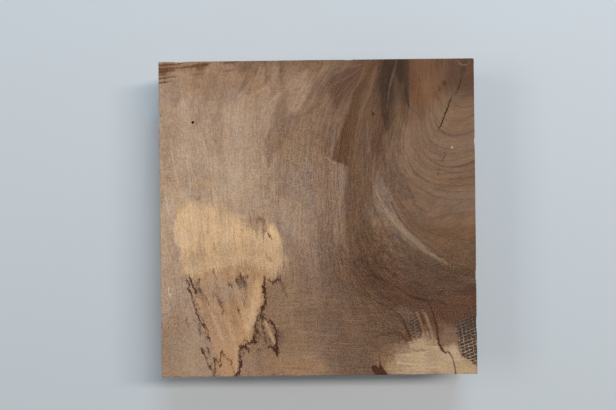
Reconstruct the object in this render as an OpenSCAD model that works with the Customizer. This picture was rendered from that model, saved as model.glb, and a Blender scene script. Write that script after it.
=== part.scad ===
// Square turning blank: one block of spalted hardwood, sawn out beside a knot and lying on its broad face.
// Millimetres. The origin is the middle of the underside, +X runs left to right, +Y front to back, +Z up.
// The back right corner is the one nearest the knot.

/* [Block] */
// Length of the block, left to right
blank_l = 203.2; // [120:0.1:400]
// Width of the block, front to back
blank_w = 203.2; // [120:0.1:400]
// Thickness of the block
blank_t = 50.8; // [30:0.1:150]
// Width of the soft flat that handling leaves along every sawn edge
arris = 0.4; // [0.1:0.1:2]

/* [Worm hole] */
// Diameter of the tunnel, the same from its mouth to its end
worm_d = 1.8; // [0.8:0.1:4]
// Depth that the tunnel reaches, measured along its axis
worm_depth = 12; // [3:1:24]
// Lean of the tunnel away from upright, in degrees
worm_lean = 14; // [0:1:30]
// Distance from the left face to the tunnel's mouth
worm_from_left = 21.9; // [10:0.1:80]
// Distance from the back face to the tunnel's mouth
worm_from_back = 39.3; // [10:0.1:80]

/* [Drying crack] */
// Widest opening of the crack in the top face
crack_w = 0.7; // [0.3:0.1:2]
// Depth of the crack below the top face
crack_depth = 9; // [2:1:24]

/* [Hidden] */
$fn = 48;

// How far a cutting shape runs past the top face
overcut = 1;

// The crack opened as two stretches, one beside the other's end. Each is a route through the top face, given
// as distances in from the right face and from the back face, and runs from the knot out along a ray of the wood.
crack_routes = [
    [[8.1, 10.6], [8.6, 14.0], [9.6, 17.6], [10.4, 20.6], [11.9, 23.1], [13.6, 25.4]],
    [[14.5, 24.6], [15.8, 28.6], [17.8, 32.9], [19.0, 36.4], [20.4, 39.6], [22.1, 43.8], [24.6, 47.4]]
];

// Direction of a route at point i, taken between its neighbours
function crack_run(route, i) =
    route[min(i + 1, len(route) - 1)] - route[max(i - 1, 0)];

// Half of the opening at point i: nothing at the two tips, widest in the middle
function crack_half(route, i) = crack_w / 2 * sin(180 * i / (len(route) - 1));

// Point i on one bank of the crack, side 1 or -1
function crack_bank(route, i, side) =
    let (run = crack_run(route, i), across = [-run[1], run[0]] / norm(run))
        route[i] + side * crack_half(route, i) * across;

// A square with its four corners taken off by the arris, standing on its lower edge
module sawn_section(w, h) {
    polygon([
        [-w / 2 + arris, 0], [w / 2 - arris, 0], [w / 2, arris], [w / 2, h - arris],
        [w / 2 - arris, h], [-w / 2 + arris, h], [-w / 2, h - arris], [-w / 2, arris]
    ]);
}

// The block as it left the saw: what the three pairs of faces have in common
module sawn_block() {
    intersection() {
        translate([0, -blank_w / 2, 0])
            linear_extrude(blank_t)
                sawn_section(blank_l, blank_w);
        translate([0, blank_w / 2, 0])
            rotate([90, 0, 0])
                linear_extrude(blank_w)
                    sawn_section(blank_l, blank_t);
        translate([-blank_l / 2, 0, 0])
            rotate([90, 0, 90])
                linear_extrude(blank_l)
                    sawn_section(blank_w, blank_t);
    }
}

// A round tunnel that leans away from the knot as it goes down
module worm_hole() {
    translate([-blank_l / 2 + worm_from_left, blank_w / 2 - worm_from_back, blank_t])
        rotate([0, worm_lean, 0])
            translate([0, 0, -worm_depth])
                cylinder(h = worm_depth + overcut, d = worm_d);
}

// A thin upright cut for each stretch, with a bank on each side, closed at both tips
module drying_crack() {
    for (route = crack_routes) {
        last = len(route) - 1;
        banks = concat(
            [for (i = [0 : last]) crack_bank(route, i, 1)],
            [for (i = [last - 1 : -1 : 1]) crack_bank(route, i, -1)]
        );
        translate([blank_l / 2, blank_w / 2, blank_t - crack_depth])
            linear_extrude(crack_depth + overcut)
                polygon(-1 * banks);
    }
}

module blank() {
    color([0.58, 0.46, 0.36])
        difference() {
            sawn_block();
            worm_hole();
            drying_crack();
        }
}

blank();
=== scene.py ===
import math
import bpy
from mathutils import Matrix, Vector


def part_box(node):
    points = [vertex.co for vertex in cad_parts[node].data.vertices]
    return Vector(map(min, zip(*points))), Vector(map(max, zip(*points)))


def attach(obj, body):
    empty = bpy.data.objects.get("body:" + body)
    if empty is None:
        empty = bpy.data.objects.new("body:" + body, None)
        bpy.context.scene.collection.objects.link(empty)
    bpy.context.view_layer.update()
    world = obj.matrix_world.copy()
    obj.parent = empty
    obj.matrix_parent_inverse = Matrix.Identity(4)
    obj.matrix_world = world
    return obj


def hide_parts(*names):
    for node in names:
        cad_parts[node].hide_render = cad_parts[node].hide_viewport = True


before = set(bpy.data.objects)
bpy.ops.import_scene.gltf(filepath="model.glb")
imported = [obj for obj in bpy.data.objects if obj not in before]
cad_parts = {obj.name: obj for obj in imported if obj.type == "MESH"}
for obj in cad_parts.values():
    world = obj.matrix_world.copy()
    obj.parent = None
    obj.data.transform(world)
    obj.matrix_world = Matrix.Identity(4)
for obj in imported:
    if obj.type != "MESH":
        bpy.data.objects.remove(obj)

from types import SimpleNamespace
import bmesh
import bpy
import numpy as np

scene = bpy.context.scene
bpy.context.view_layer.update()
low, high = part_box("blank")
mm = 0.001
length, width, thick = [side / mm for side in high - low]
halfX, halfY = length / 2, width / 2
print("frame loaded:", round(length, 1), "x", round(width, 1), "x", round(thick, 1), "mm")

# All places below are in millimetres from the middle of the block: x to the right, y to the back.
# Depth is measured down from the top face.


# The sawn block

sawnBlock = {
    "cell": 1.2,                    # size of a mesh cell on the faces
    "rim": 0.45,                    # width of the first cell beside an edge, which becomes the worn edge
    "edgeWear": 0.22,               # how far an edge is worn back on average
    "edgeRagged": 0.16,             # how much that changes along the edge
    "edgeLimits": (-1.3, 1.6),      # least and most of that change
    "crumbs": 0.5,                  # how much the depth of a chip changes over it
    "crumbLimits": (0.2, 1.6),      # least and most of its depth, as a share
    "faceWave": 0.10,               # slow unevenness of the faces
    "sideScratch": 0.07,            # height of the saw's ripple on the four sides
    "topScratch": 0.02,             # and on the top and underside
    "ripplePitch": 3.4,             # distance between ripples
    "slant": (0.12, -0.15, 0.03),   # how far ripples lean: left and right, front and back, top and underside
    "deepest": 1.8,                 # no point moves inwards further than this
    "smoothBelow": 32,              # edges sharper than this many degrees stay sharp
    "seed": 3,
    "waves": {
        # how many waves each kind is the sum of, the shortest and the longest
        "slow": (12, 45, 120),
        "drift": (8, 60, 150),
        "edge": (30, 2.6, 16),
        "crumb": (10, 1.5, 5),
    },
}

# Small pieces broken out of the edges: place with its height, then radius and depth
edgeChips = [
    (-halfX, 66.0, thick, 3.0, 0.9), (-halfX, 12.0, thick, 4.0, 0.8), (-halfX, -62.0, thick, 2.4, 0.7),
    (halfX, -38.0, thick, 2.6, 0.9), (halfX, -70.0, thick, 3.6, 0.8), (halfX, 48.0, thick, 2.2, 0.6),
    (-88.0, halfY, thick, 3.4, 0.8), (20.0, halfY, thick, 2.4, 0.5), (72.0, -halfY, thick, 2.6, 0.6),
    (-30.0, -halfY, thick, 3.0, 0.6), (halfX, -halfY, 20.0, 5.0, 1.4), (-halfX, -halfY, 0.0, 5.0, 1.6),
    (halfX, halfY, 0.0, 4.0, 1.2), (-halfX, halfY, 28.0, 4.0, 1.0), (40.0, -halfY, 0.0, 5.0, 1.0),
    (-halfX, 30.0, 0.0, 6.0, 1.1), (halfX, 10.0, 0.0, 5.0, 1.0), (-46.0, halfY, 0.0, 5.0, 1.0),
]


def waves(places, seed, count, shortest, longest):
    # a sum of plane waves in random directions, about -1 to 1, the same for the same seed
    dice = np.random.default_rng(seed)
    total = np.zeros(len(places))
    for _ in range(count):
        way = dice.normal(size=places.shape[1])
        way *= 2 * math.pi / (np.linalg.norm(way) * dice.uniform(shortest, longest))
        total += np.sin(places @ way + dice.uniform(0, 2 * math.pi))
    return total / math.sqrt(count)


def gridSteps(span, cell, rim):
    # grid lines from one face to the opposite one, with a narrow cell at each end
    count = round((span - 2 * rim) / cell)
    return np.concatenate([[0], np.linspace(rim, span - rim, count + 1), [span]])


def boxLattice(steps):
    # the cells on the six faces of a box, as corner numbers along each axis
    cells = []
    for axis in range(3):
        across, along = (axis + 1) % 3, (axis + 2) % 3
        i, j = np.meshgrid(*[np.arange(len(steps[side]) - 1) for side in (across, along)], indexing="ij")
        for end in (0, len(steps[axis]) - 1):
            corners = np.zeros((i.size, 4, 3), int)
            corners[:, :, axis] = end
            for k, (di, dj) in enumerate(((0, 0), (1, 0), (1, 1), (0, 1))):
                corners[:, k, across] = i.ravel() + di
                corners[:, k, along] = j.ravel() + dj
            cells.append(corners if end else corners[:, ::-1])
    return np.unique(np.concatenate(cells).reshape(-1, 3), axis=0, return_inverse=True)


def sawnSurface(cut):
    # moves each grid point inwards by the saw's ripple, the slow waves, the worn edges and the chips
    steps = [gridSteps(span, cut["cell"], cut["rim"]) for span in (length, width, thick)]
    lattice, cells = boxLattice(steps)
    places = np.stack([steps[axis][lattice[:, axis]] for axis in range(3)], 1) - (halfX, halfY, 0)
    last = [len(line) - 1 for line in steps]
    inward = np.where(lattice == 0, 1, 0) - np.where(lattice == last, 1, 0)
    onEdge = (np.abs(inward).sum(1) > 1).astype(float)
    slow, drift, ragged, crumbs = [
        waves(places, cut["seed"] + k, *kind) for k, kind in enumerate(cut["waves"].values())
    ]
    x, y, z = places.T
    wear = onEdge * (cut["edgeWear"] + cut["edgeRagged"] * ragged.clip(*cut["edgeLimits"]))
    crumbs = (1 + cut["crumbs"] * crumbs).clip(*cut["crumbLimits"])
    for chipX, chipY, chipZ, radius, deep in edgeChips:
        far = ((x - chipX) ** 2 + (y - chipY) ** 2 + (z - chipZ) ** 2) / radius ** 2
        wear += deep * np.exp(-far) * crumbs
    slant = cut["slant"]
    runs = (y + slant[0] * z, x + slant[1] * z, y + slant[2] * x)      # which way the saw ran over each face
    ripples = [0.5 + 0.5 * np.sin(2 * math.pi / cut["ripplePitch"] * run + drift) for run in runs]
    heights = (cut["sideScratch"], cut["sideScratch"], cut["topScratch"])
    wave = cut["faceWave"] * (0.5 + 0.5 * slow.clip(-1, 1))
    for axis, (height, ripple) in enumerate(zip(heights, ripples)):
        moved = wave + height * ripple + wear
        places[:, axis] += inward[:, axis] * np.minimum(moved, cut["deepest"])
    return places, cells.reshape(-1, 4)


def meshFrom(name, places, faces):
    mesh = bpy.data.meshes.new(name)
    mesh.from_pydata((np.asarray(places) * mm).tolist(), [], [list(face) for face in faces])
    mesh.validate()
    piece = bpy.data.objects.new(name, mesh)
    scene.collection.objects.link(piece)
    return piece


# The worm hole and the drying crack, cut into the block

wormHole = {
    # middle of the tunnel, from above its mouth to its end
    "path": [(-79.7, 62.3, 2.0), (-79.7, 62.3, 0.0), (-80.1, 62.2, -2.5), (-80.9, 61.9, -5.5),
             (-81.8, 61.9, -8.5), (-82.6, 62.2, -11.4)],
    "radius": 0.89,
    "sides": 18,
    "lobes": 3,           # it bulges to this many sides
    "bulge": 0.06,        # by this share of its radius
    "uneven": 0.04,       # and changes by this share from ring to ring
    "unevenTurn": 1.7,    # how fast that comes and goes
}
dryingCrack = {
    "routes": [
        [(93.5, 91.0), (93.0, 87.6), (92.0, 84.0), (91.2, 81.0), (89.7, 78.5), (88.0, 76.2)],
        [(87.1, 77.0), (85.8, 73.0), (83.8, 68.7), (82.6, 65.2), (81.2, 62.0), (79.5, 57.8), (77.0, 54.2)],
    ],
    "halfWidth": [0.20, 0.31],    # widest half opening of each route
    "uneven": (0.6, 1.15),        # least and most of that opening, as a share
    "shallow": 0.5,               # depth at the tips
    "depth": 8.5,                 # how much deeper the middle is
    "step": 0.9,                  # distance between points along a route
    "ragged": 0.10,               # how far the points stray from the route
    "tip": 0.15,                  # how far beyond each end the opening closes, in steps
    "swell": 0.6,                 # how soon it opens: below 1 is sooner
    "lip": 0.9,                   # share of the half opening that is left on one side, at the lip depth
    "lipDepth": 0.4,              # below the top face
    "keel": 0.02,                 # how far the bottom edge lies to one side
    "proud": 0.6,                 # how far the cutter stands out above the top face
    "seed": 20,
}


def ringFaces(rings, sides):
    # joins each ring to the next, and closes both ends
    faces = [list(range(sides))]
    for k in range(rings - 1):
        for i in range(sides):
            j = (i + 1) % sides
            faces.append([k * sides + i, (k + 1) * sides + i, (k + 1) * sides + j, k * sides + j])
    faces.append([(rings - 1) * sides + i for i in reversed(range(sides))])
    return faces


def tubeCutter(hole):
    places = []
    for k, (x, y, z) in enumerate(hole["path"]):
        uneven = hole["uneven"] * math.sin(hole["unevenTurn"] * k)
        for i in range(hole["sides"]):
            turn = 2 * math.pi * i / hole["sides"]
            radius = hole["radius"] * (1 + hole["bulge"] * math.sin(hole["lobes"] * turn + k) + uneven)
            places.append((x + radius * math.cos(turn), y + radius * math.sin(turn), thick + z))
    return places, ringFaces(len(hole["path"]), hole["sides"])


def crackCutter(crack, route, halfWidth, seed):
    # a wedge along the route: open at the top, a closed edge below, both tips drawn out to nothing
    corners = np.array(route, float)
    run = np.concatenate([[0], np.cumsum(np.linalg.norm(np.diff(corners, axis=0), axis=1))])
    count = int(run[-1] / crack["step"]) + 1
    at = np.linspace(0, run[-1], count)
    dice = np.random.default_rng(seed)
    line = np.stack([np.interp(at, run, corners[:, axis]) for axis in (0, 1)], 1)
    line += dice.normal(scale=crack["ragged"], size=line.shape)
    slope = np.gradient(line, axis=0)
    side = np.stack([-slope[:, 1], slope[:, 0]], 1) / np.linalg.norm(slope, axis=1)[:, None]
    top = thick + crack["proud"]
    places = []
    for k in range(count):
        swell = math.sin(math.pi * (k + crack["tip"]) / (count - 1 + 2 * crack["tip"])) ** crack["swell"]
        half = halfWidth * swell * dice.uniform(*crack["uneven"])
        lip = (half * crack["lip"], thick - crack["lipDepth"])
        bottom = (crack["keel"], thick - crack["shallow"] - crack["depth"] * swell)
        for sway, height in ((half, top), lip, bottom, (-half, top)):
            places.append((*(line[k] + sway * side[k]), height))
    return places, ringFaces(count, 4)


def cutOut(piece, cutter):
    # takes the cutter out of the piece and leaves no modifier behind
    modifier = piece.modifiers.new("cut", "BOOLEAN")
    modifier.operation = "DIFFERENCE"
    modifier.solver = "EXACT"
    modifier.object = cutter
    shaped = bpy.data.meshes.new_from_object(piece.evaluated_get(bpy.context.evaluated_depsgraph_get()))
    piece.modifiers.clear()
    piece.data = shaped
    bpy.data.objects.remove(cutter)


def outwards(piece):
    # turns every face to look out
    shape = bmesh.new()
    shape.from_mesh(piece.data)
    bmesh.ops.recalc_face_normals(shape, faces=shape.faces)
    shape.to_mesh(piece.data)
    shape.free()


def makeBlock():
    block = meshFrom("sawn_block", *sawnSurface(sawnBlock))
    cutters = [tubeCutter(wormHole)]
    for k, (route, halfWidth) in enumerate(zip(dryingCrack["routes"], dryingCrack["halfWidth"])):
        cutters.append(crackCutter(dryingCrack, route, halfWidth, dryingCrack["seed"] + k))
    for places, faces in cutters:
        cutter = meshFrom("cutter", places, faces)
        outwards(cutter)
        cutOut(block, cutter)
    block.data.name = "sawn_block"
    for face in block.data.polygons:
        face.use_smooth = True
    block.data.set_sharp_from_angle(angle=math.radians(sawnBlock["smoothBelow"]))
    print("block cut:", len(block.data.vertices), "points,", len(block.data.loop_triangles), "triangles")
    return block


# How the grain runs

# Lines that the grain follows on the top face. The number is how far across the grain the line lies.
grainLines = {
    -100: [(-108, 100), (-106, 60), (-101, 30), (-96, 0), (-90, -40), (-83, -70), (-76, -100)],
    -80: [(-84, 100), (-84, 75), (-82, 55), (-77, 30), (-74, 0), (-69, -40), (-62, -70), (-55, -100)],
    -60: [(-56, 100), (-60, 85), (-62, 70), (-60, 50), (-58, 30), (-56, 0), (-52, -40), (-46, -70),
          (-38, -100)],
    -40: [(-30, 100), (-37, 85), (-41, 70), (-42, 50), (-41, 30), (-40, 0), (-38, -40), (-34, -70),
          (-28, -100)],
    -20: [(0, 100), (-8, 85), (-15, 70), (-20, 50), (-21, 30), (-21, 0), (-20, -40), (-17, -70),
          (-13, -100)],
    0: [(24, 100), (14, 85), (6, 70), (1, 50), (0, 30), (0, 0), (2, -30), (6, -60), (12, -100)],
    15: [(34, 100), (27, 85), (21, 68), (16, 50), (14, 30), (14, 0), (18, -25), (27, -45), (40, -58),
         (50, -70), (56, -85), (60, -100)],
    25: [(41, 100), (34, 85), (28, 68), (25, 50), (24, 20), (25, 0), (29, -20), (38, -36), (52, -47),
         (64, -56), (70, -70), (74, -85), (77, -100)],
    29: [(31, -12), (44, -32), (60, -45), (74, -51), (84, -58), (91, -75), (96, -100)],
    33: [(48, 100), (43, 80), (38, 60), (35, 40), (34, 20), (37, 2), (44, -12), (55, -25), (70, -37),
         (85, -42), (104, -43)],
    40: [(53, 100), (49, 80), (46, 60), (42, 40), (39, 20), (43, 10), (50, 0), (58, -10), (70, -20),
         (82, -29), (104, -35)],
    45: [(55, 100), (53, 80), (49, 55), (46, 35), (47, 20), (52, 6), (62, -6), (75, -13), (90, -16),
         (104, -17)],
    50: [(57, 100), (56, 80), (54, 62), (51, 50), (51, 40), (55, 30), (60, 22), (68, 15), (80, 11),
         (104, 10)],
    62: [(64, 100), (64, 80), (62, 60), (62, 50), (64, 42), (68, 36), (74, 32), (82, 31), (92, 32),
         (104, 35)],
    72: [(74, 100), (73, 85), (72, 70), (73, 60), (76, 52), (82, 48), (90, 47), (104, 51)],
    80: [(81, 100), (80, 88), (79, 76), (80, 67), (84, 61), (90, 60), (97, 61), (104, 64)],
    87: [(86, 104), (85, 95), (85, 85), (87, 76), (91, 73), (97, 73), (104, 77)],
    93: [(90, 104), (89, 98), (90, 91), (93, 87), (98, 88), (104, 92)],
    97: [(92, 104), (92, 99), (95, 96), (98, 98), (100, 104)],
}
insideWood = {
    "skin": 0.4,                       # depth that still counts as the top face
    "knot": (95.0, 103.0, 55.0),       # middle and reach of the knot, whose wood stands upright
    "knotDepth": 0.88,                 # how far the figure stops changing with depth in the knot
    "knotCalm": 0.6,                   # how much less it strays there
    "lean": (0.42, 0.26),              # how far the figure moves along x and y for each millimetre of depth
    "bend": 0.005,                     # how much more it moves with depth
    "wander": 5.0,                     # how far it strays by the underside
    "wanderWaves": (8, 50, 110),       # how many waves that is the sum of, the shortest and the longest
    "seed": 30,
}


def spread(lines, places):
    # a smooth surface through every line's number, read at the places
    slack, batch = 2.0, 20000      # how loosely it fits the lines, and how many places are read at one time
    known = np.array([point for line in lines.values() for point in line], float)
    values = np.array([number for number, line in lines.items() for _ in line], float)

    def pull(a, b):
        square = ((a[:, None, :] - b[None, :, :]) ** 2).sum(2)
        return 0.5 * square * np.log(square + 1e-9)

    flat = np.hstack([np.ones((len(known), 1)), known])
    stiff = pull(known, known) + slack * np.eye(len(known))
    system = np.block([[stiff, flat], [flat.T, np.zeros((3, 3))]])
    weights = np.linalg.solve(system, np.concatenate([values, np.zeros(3)]))
    result = np.zeros(len(places))
    for start in range(0, len(places), batch):
        part = places[start:start + batch]
        result[start:start + batch] = pull(part, known) @ weights[:-3] + weights[-3] + part @ weights[-2:]
    return result


def store(mesh, name, kind, key, values):
    layer = mesh.attributes.new(name, kind, "POINT")
    layer.data.foreach_set(key, values.astype(np.float32).ravel())


def addGrain(piece):
    # stores for every point the place where its fibres come out on the top face, its depth in the figure
    # and the grain number there
    mesh = piece.data
    places = np.zeros(len(mesh.vertices) * 3, np.float32)
    mesh.vertices.foreach_get("co", places)
    places = places.reshape(-1, 3) / mm
    depth = np.clip(thick - insideWood["skin"] - places[:, 2], 0, None)
    knotX, knotY, reach = insideWood["knot"]
    upright = np.exp(-((places[:, 0] - knotX) ** 2 + (places[:, 1] - knotY) ** 2) / reach ** 2)
    going = (depth + insideWood["bend"] * depth ** 2) * (1 - upright)
    stray = insideWood["wander"] * (1 - insideWood["knotCalm"] * upright) * depth / thick
    face = np.zeros((len(places), 3))
    for axis, lean in enumerate(insideWood["lean"]):
        wander = stray * waves(places, insideWood["seed"] + axis, *insideWood["wanderWaves"])
        face[:, axis] = places[:, axis] + lean * going + wander
    face[:, 2] = depth * (1 - insideWood["knotDepth"] * upright)
    across = spread(grainLines, face[:, :2])
    store(mesh, "face", "FLOAT_VECTOR", "vector", face)
    store(mesh, "across", "FLOAT", "value", across)
    print("grain spread:", round(float(across.min())), "to", round(float(across.max())))


# Shader wiring

class Wire:
    # one socket of a node tree; an expression on wires and numbers adds its Math nodes
    def __init__(self, tree, socket=None):
        self.tree = tree
        self.socket = socket

    def node(self, kind, settings=None, inputs=None, out=0):
        # adds a node: settings first, then the values or links of its sockets; returns the output asked for
        made = self.tree.nodes.new(kind)
        for name, value in (settings or {}).items():
            if name == "stops":
                setStops(made.color_ramp, value)
            elif name == "points":
                setPoints(made.mapping, value)
            else:
                setattr(made, name, value)
        for key, value in (inputs or {}).items():
            if isinstance(value, Wire):
                self.tree.links.new(value.socket, made.inputs[key])
            else:
                made.inputs[key].default_value = value
        return Wire(self.tree, made.outputs[out] if len(made.outputs) else None)

    def math(self, operation, *values):
        return self.node("ShaderNodeMath", {"operation": operation}, dict(enumerate(values)))

    def __add__(self, other):
        return self.math("ADD", self, other)

    def __radd__(self, other):
        return self.math("ADD", other, self)

    def __sub__(self, other):
        return self.math("SUBTRACT", self, other)

    def __rsub__(self, other):
        return self.math("SUBTRACT", other, self)

    def __mul__(self, other):
        return self.math("MULTIPLY", self, other)

    def __rmul__(self, other):
        return self.math("MULTIPLY", other, self)

    def __truediv__(self, other):
        return self.math("DIVIDE", self, other)

    def __rtruediv__(self, other):
        return self.math("DIVIDE", other, self)

    def __abs__(self):
        return self.math("ABSOLUTE", self)


def setStops(ramp, stops):
    ramp.interpolation = "EASE"
    while len(ramp.elements) < len(stops):
        ramp.elements.new(0.5)
    for element, (place, colour) in zip(ramp.elements, sorted(stops)):
        element.position = place
        element.color = colour


def setPoints(mapping, points):
    # beyond its last points a curve stays level
    line = mapping.curves[0]
    xs, ys = zip(*points)
    mapping.use_clip = False
    mapping.clip_min_x, mapping.clip_max_x = min(xs) - 1, max(xs) + 1
    mapping.clip_min_y, mapping.clip_max_y = min(ys) - 1, max(ys) + 1
    mapping.extend = "HORIZONTAL"
    while len(line.points) < len(points):
        line.points.new(0.5, 0.5)
    for point, place in zip(line.points, sorted(points)):
        point.location = place
        point.handle_type = "AUTO_CLAMPED"
    mapping.update()


def shade(red, green, blue):
    # a colour given as it looks on a screen, 0 to 255, turned into light
    levels = [level / 255 for level in (red, green, blue)]
    light = [level / 12.92 if level <= 0.04045 else ((level + 0.055) / 1.055) ** 2.4 for level in levels]
    return [*light, 1.0]


def vectorMath(operation, a, b=None, scale=None, out=0):
    inputs = {0: a, 1: b, 3: scale}
    given = {key: value for key, value in inputs.items() if value is not None}
    return a.node("ShaderNodeVectorMath", {"operation": operation}, given, out)


def blend(factor, a, b):
    # mixes two colours, which a Mix node takes at its sockets 6 and 7
    settings = {"data_type": "RGBA", "clamp_factor": True}
    return factor.node("ShaderNodeMix", settings, {0: factor, 6: a, 7: b}, 2)


def rise(value, start, end, low=0.0, high=1.0):
    # goes smoothly from low to high as the value goes from start to end
    settings = {"interpolation_type": "SMOOTHSTEP"}
    return value.node("ShaderNodeMapRange", settings, {0: value, 1: start, 2: end, 3: low, 4: high})


def ride(value, start, end, low=0.0, high=1.0):
    # the same in a straight line
    return value.node("ShaderNodeMapRange", {}, {0: value, 1: start, 2: end, 3: low, 4: high})


def roughNoise(place, scale, detail, roughness, out=0):
    inputs = {"Vector": place, "Scale": scale, "Detail": detail, "Roughness": roughness}
    return place.node("ShaderNodeTexNoise", {}, inputs, out)


def vector(x, y, z):
    return x.node("ShaderNodeCombineXYZ", {}, {0: x, 1: y, 2: z})


def parts(value):
    return [value.node("ShaderNodeSeparateXYZ", {}, {0: value}, out) for out in range(3)]


# The colours that this wood has, used all through the figure
palette = {
    "pinkTan": shade(169, 143, 120),
    "paleTan": shade(175, 149, 125),
    "dustyTan": shade(159, 133, 111),
    "greyTan": shade(144, 119, 101),
    "plainTan": shade(146, 116, 93),
    "warmBrown": shade(135, 107, 84),
    "coolBrown": shade(126, 100, 82),
    "midBrown": shade(113, 88, 70),
    "earthBrown": shade(103, 78, 59),
    "redBrown": shade(113, 80, 57),
    "purpleBrown": shade(93, 66, 53),
    "darkBrown": shade(89, 63, 47),
    "oliveBrown": shade(91, 71, 55),
    "nearBlack": shade(56, 42, 32),
    "soot": shade(64, 52, 43),
    "ringTan": shade(122, 96, 76),
    "greyBand": shade(128, 107, 90),
    "honey": shade(205, 171, 132),
    "sand": shade(184, 152, 118),
    "orangeTan": shade(176, 138, 103),
    "cream": shade(182, 156, 124),
    "lineBrown": shade(66, 38, 28),
    "stainBrown": shade(98, 64, 40),
    "umber": shade(90, 63, 43),
    "rust": shade(72, 43, 29),
    "fleck": shade(214, 192, 165),
}

# How the colour runs across the grain, from the back of the block to its front: grain number and colour
figure = {
    "back": [
        (-105, "pinkTan"), (-88, "dustyTan"), (-74, "plainTan"), (-62, "plainTan"), (-50, "plainTan"),
        (-38, "plainTan"), (-24, "plainTan"), (-14, "warmBrown"), (-4, "midBrown"), (8, "darkBrown"),
        (18, "earthBrown"), (28, "darkBrown"), (38, "nearBlack"), (46, "darkBrown"), (52, "oliveBrown"),
        (57, "oliveBrown"), (61, "redBrown"), (74, "redBrown"), (82, "earthBrown"), (92, "darkBrown"),
    ],
    "upper": [
        (-105, "pinkTan"), (-80, "pinkTan"), (-64, "dustyTan"), (-50, "pinkTan"), (-35, "dustyTan"),
        (-22, "warmBrown"), (-8, "warmBrown"), (6, "midBrown"), (15, "midBrown"), (23, "earthBrown"),
        (30, "earthBrown"), (36, "darkBrown"), (41, "earthBrown"), (48, "midBrown"), (54, "ringTan"),
        (70, "ringTan"), (84, "ringTan"), (97, "midBrown"),
    ],
    "middle": [
        (-105, "paleTan"), (-84, "paleTan"), (-66, "paleTan"), (-50, "paleTan"), (-34, "dustyTan"),
        (-20, "greyTan"), (-6, "greyTan"), (6, "coolBrown"), (16, "coolBrown"), (22, "earthBrown"),
        (28, "earthBrown"), (34, "midBrown"), (40, "midBrown"), (46, "midBrown"), (53, "ringTan"),
        (62, "ringTan"), (97, "midBrown"),
    ],
    "front": [
        (-110, "pinkTan"), (-98, "dustyTan"), (-84, "greyTan"), (-66, "plainTan"), (-50, "warmBrown"),
        (-34, "warmBrown"), (-18, "warmBrown"), (-6, "coolBrown"), (4, "midBrown"), (12, "earthBrown"),
        (20, "darkBrown"), (28, "darkBrown"), (34, "oliveBrown"), (40, "earthBrown"), (60, "ringTan"),
        (95, "midBrown"),
    ],
}
grainSpan = (-115.0, 105.0)     # grain numbers at the two ends of a colour ramp
# The colours in the middle give way to the others over these stretches of y
takeOver = {"upper": (26.0, 50.0), "back": (66.0, 88.0), "front": (0.0, -40.0)}

# Marks are bands of changing width: colour, strength, softness of the edge, and places along each, with x, y
# and half the width there. The first list is of wide patches, whose edges are combed out along the grain.
combedMarks = [
    ("sand", 0.35, 12.0, [(-48, -24, 2), (-40, -24, 12), (-32, -25, 13), (-25, -26, 9), (-20, -26, 1)]),
    # the pale patch, where the wood has begun to rot
    ("dustyTan", 0.5, 9.0, [(-96, -8, 2), (-92, -11, 16), (-86, -15, 24), (-74, -14, 26), (-60, -14, 24),
        (-50, -15, 20), (-40, -18, 18), (-30, -21, 16), (-22, -25, 7)]),
    ("honey", 0.88, 7.0, [(-93, -6, 2), (-90, -8, 11), (-87, -11, 18), (-84, -13, 22), (-78, -14, 24),
        (-70, -14.5, 24), (-64, -14, 22.5), (-58, -11.5, 18.5), (-52, -11.5, 16), (-46, -13.5, 14),
        (-40, -16.5, 14), (-35, -19, 15.5), (-30, -20, 15.5), (-26, -21.5, 12.5), (-23.6, -24, 7),
        (-22, -25, 1)]),
    ("sand", 0.65, 8.0, [(-86, -30, 2), (-76, -29, 7), (-62, -24, 6), (-48, -22, 8), (-36, -26, 9),
        (-28, -27, 9), (-23, -28, 4)]),
    ("sand", 0.5, 6.0, [(-76, -15, 1), (-70, -17, 4), (-62, -18, 4), (-56, -16, 2)]),
    ("plainTan", 0.75, 5.0, [(-46, -2, 2), (-42, -3, 5), (-38.6, -4, 6.6), (-36, -5.4, 6),
        (-33.8, -6, 2)]),
    ("honey", 0.6, 3.0, [(-34.6, -4.6, 0.4), (-31, -5.4, 1.6), (-28, -8, 2.6), (-26, -12, 2.4),
        (-25, -17, 1.4)]),
    ("redBrown", 0.35, 4.0, [(-24, -17, 0.6), (-22.8, -23, 1.6), (-22.6, -30, 1.2), (-24, -36, 0.6)]),
    ("plainTan", 0.6, 4.0, [(-62, -32, 0.6), (-58, -34.4, 4), (-52, -36.6, 5.4), (-46, -36, 4.6),
        (-42, -34, 0.6)]),
    ("orangeTan", 0.6, 4.0, [(-37, -33, 0.6), (-34, -36, 2.4), (-30, -36.4, 2.6), (-26, -35, 1.6)]),
    # warm wood in front of it, between the two frayed lines
    ("orangeTan", 0.85, 5.0, [(-57, -36, 22), (-57, -42, 23), (-57, -50, 22), (-56.6, -58, 20),
        (-57, -64, 18), (-58, -70, 16), (-57.5, -78, 13), (-60, -81, 10), (-60.5, -88, 8.5),
        (-59, -95, 7), (-60, -102, 5)]),
    ("plainTan", 0.4, 7.0, [(-88, -27, 1), (-83, -23, 5), (-77, -22, 5), (-71, -24, 1)]),
    ("sand", 0.5, 8.0, [(-58, -20, 1), (-48, -21, 7), (-36, -21, 6), (-28, -24, 1)]),
    ("plainTan", 0.45, 6.0, [(-70.6, -57, 1), (-67, -63, 5), (-64, -70, 5), (-62, -77, 1)]),
    ("dustyTan", 0.65, 7.0, [(-84, -42, 1), (-75, -46, 6), (-64, -46, 8), (-54, -44, 7), (-46, -41, 2)]),
]

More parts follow.
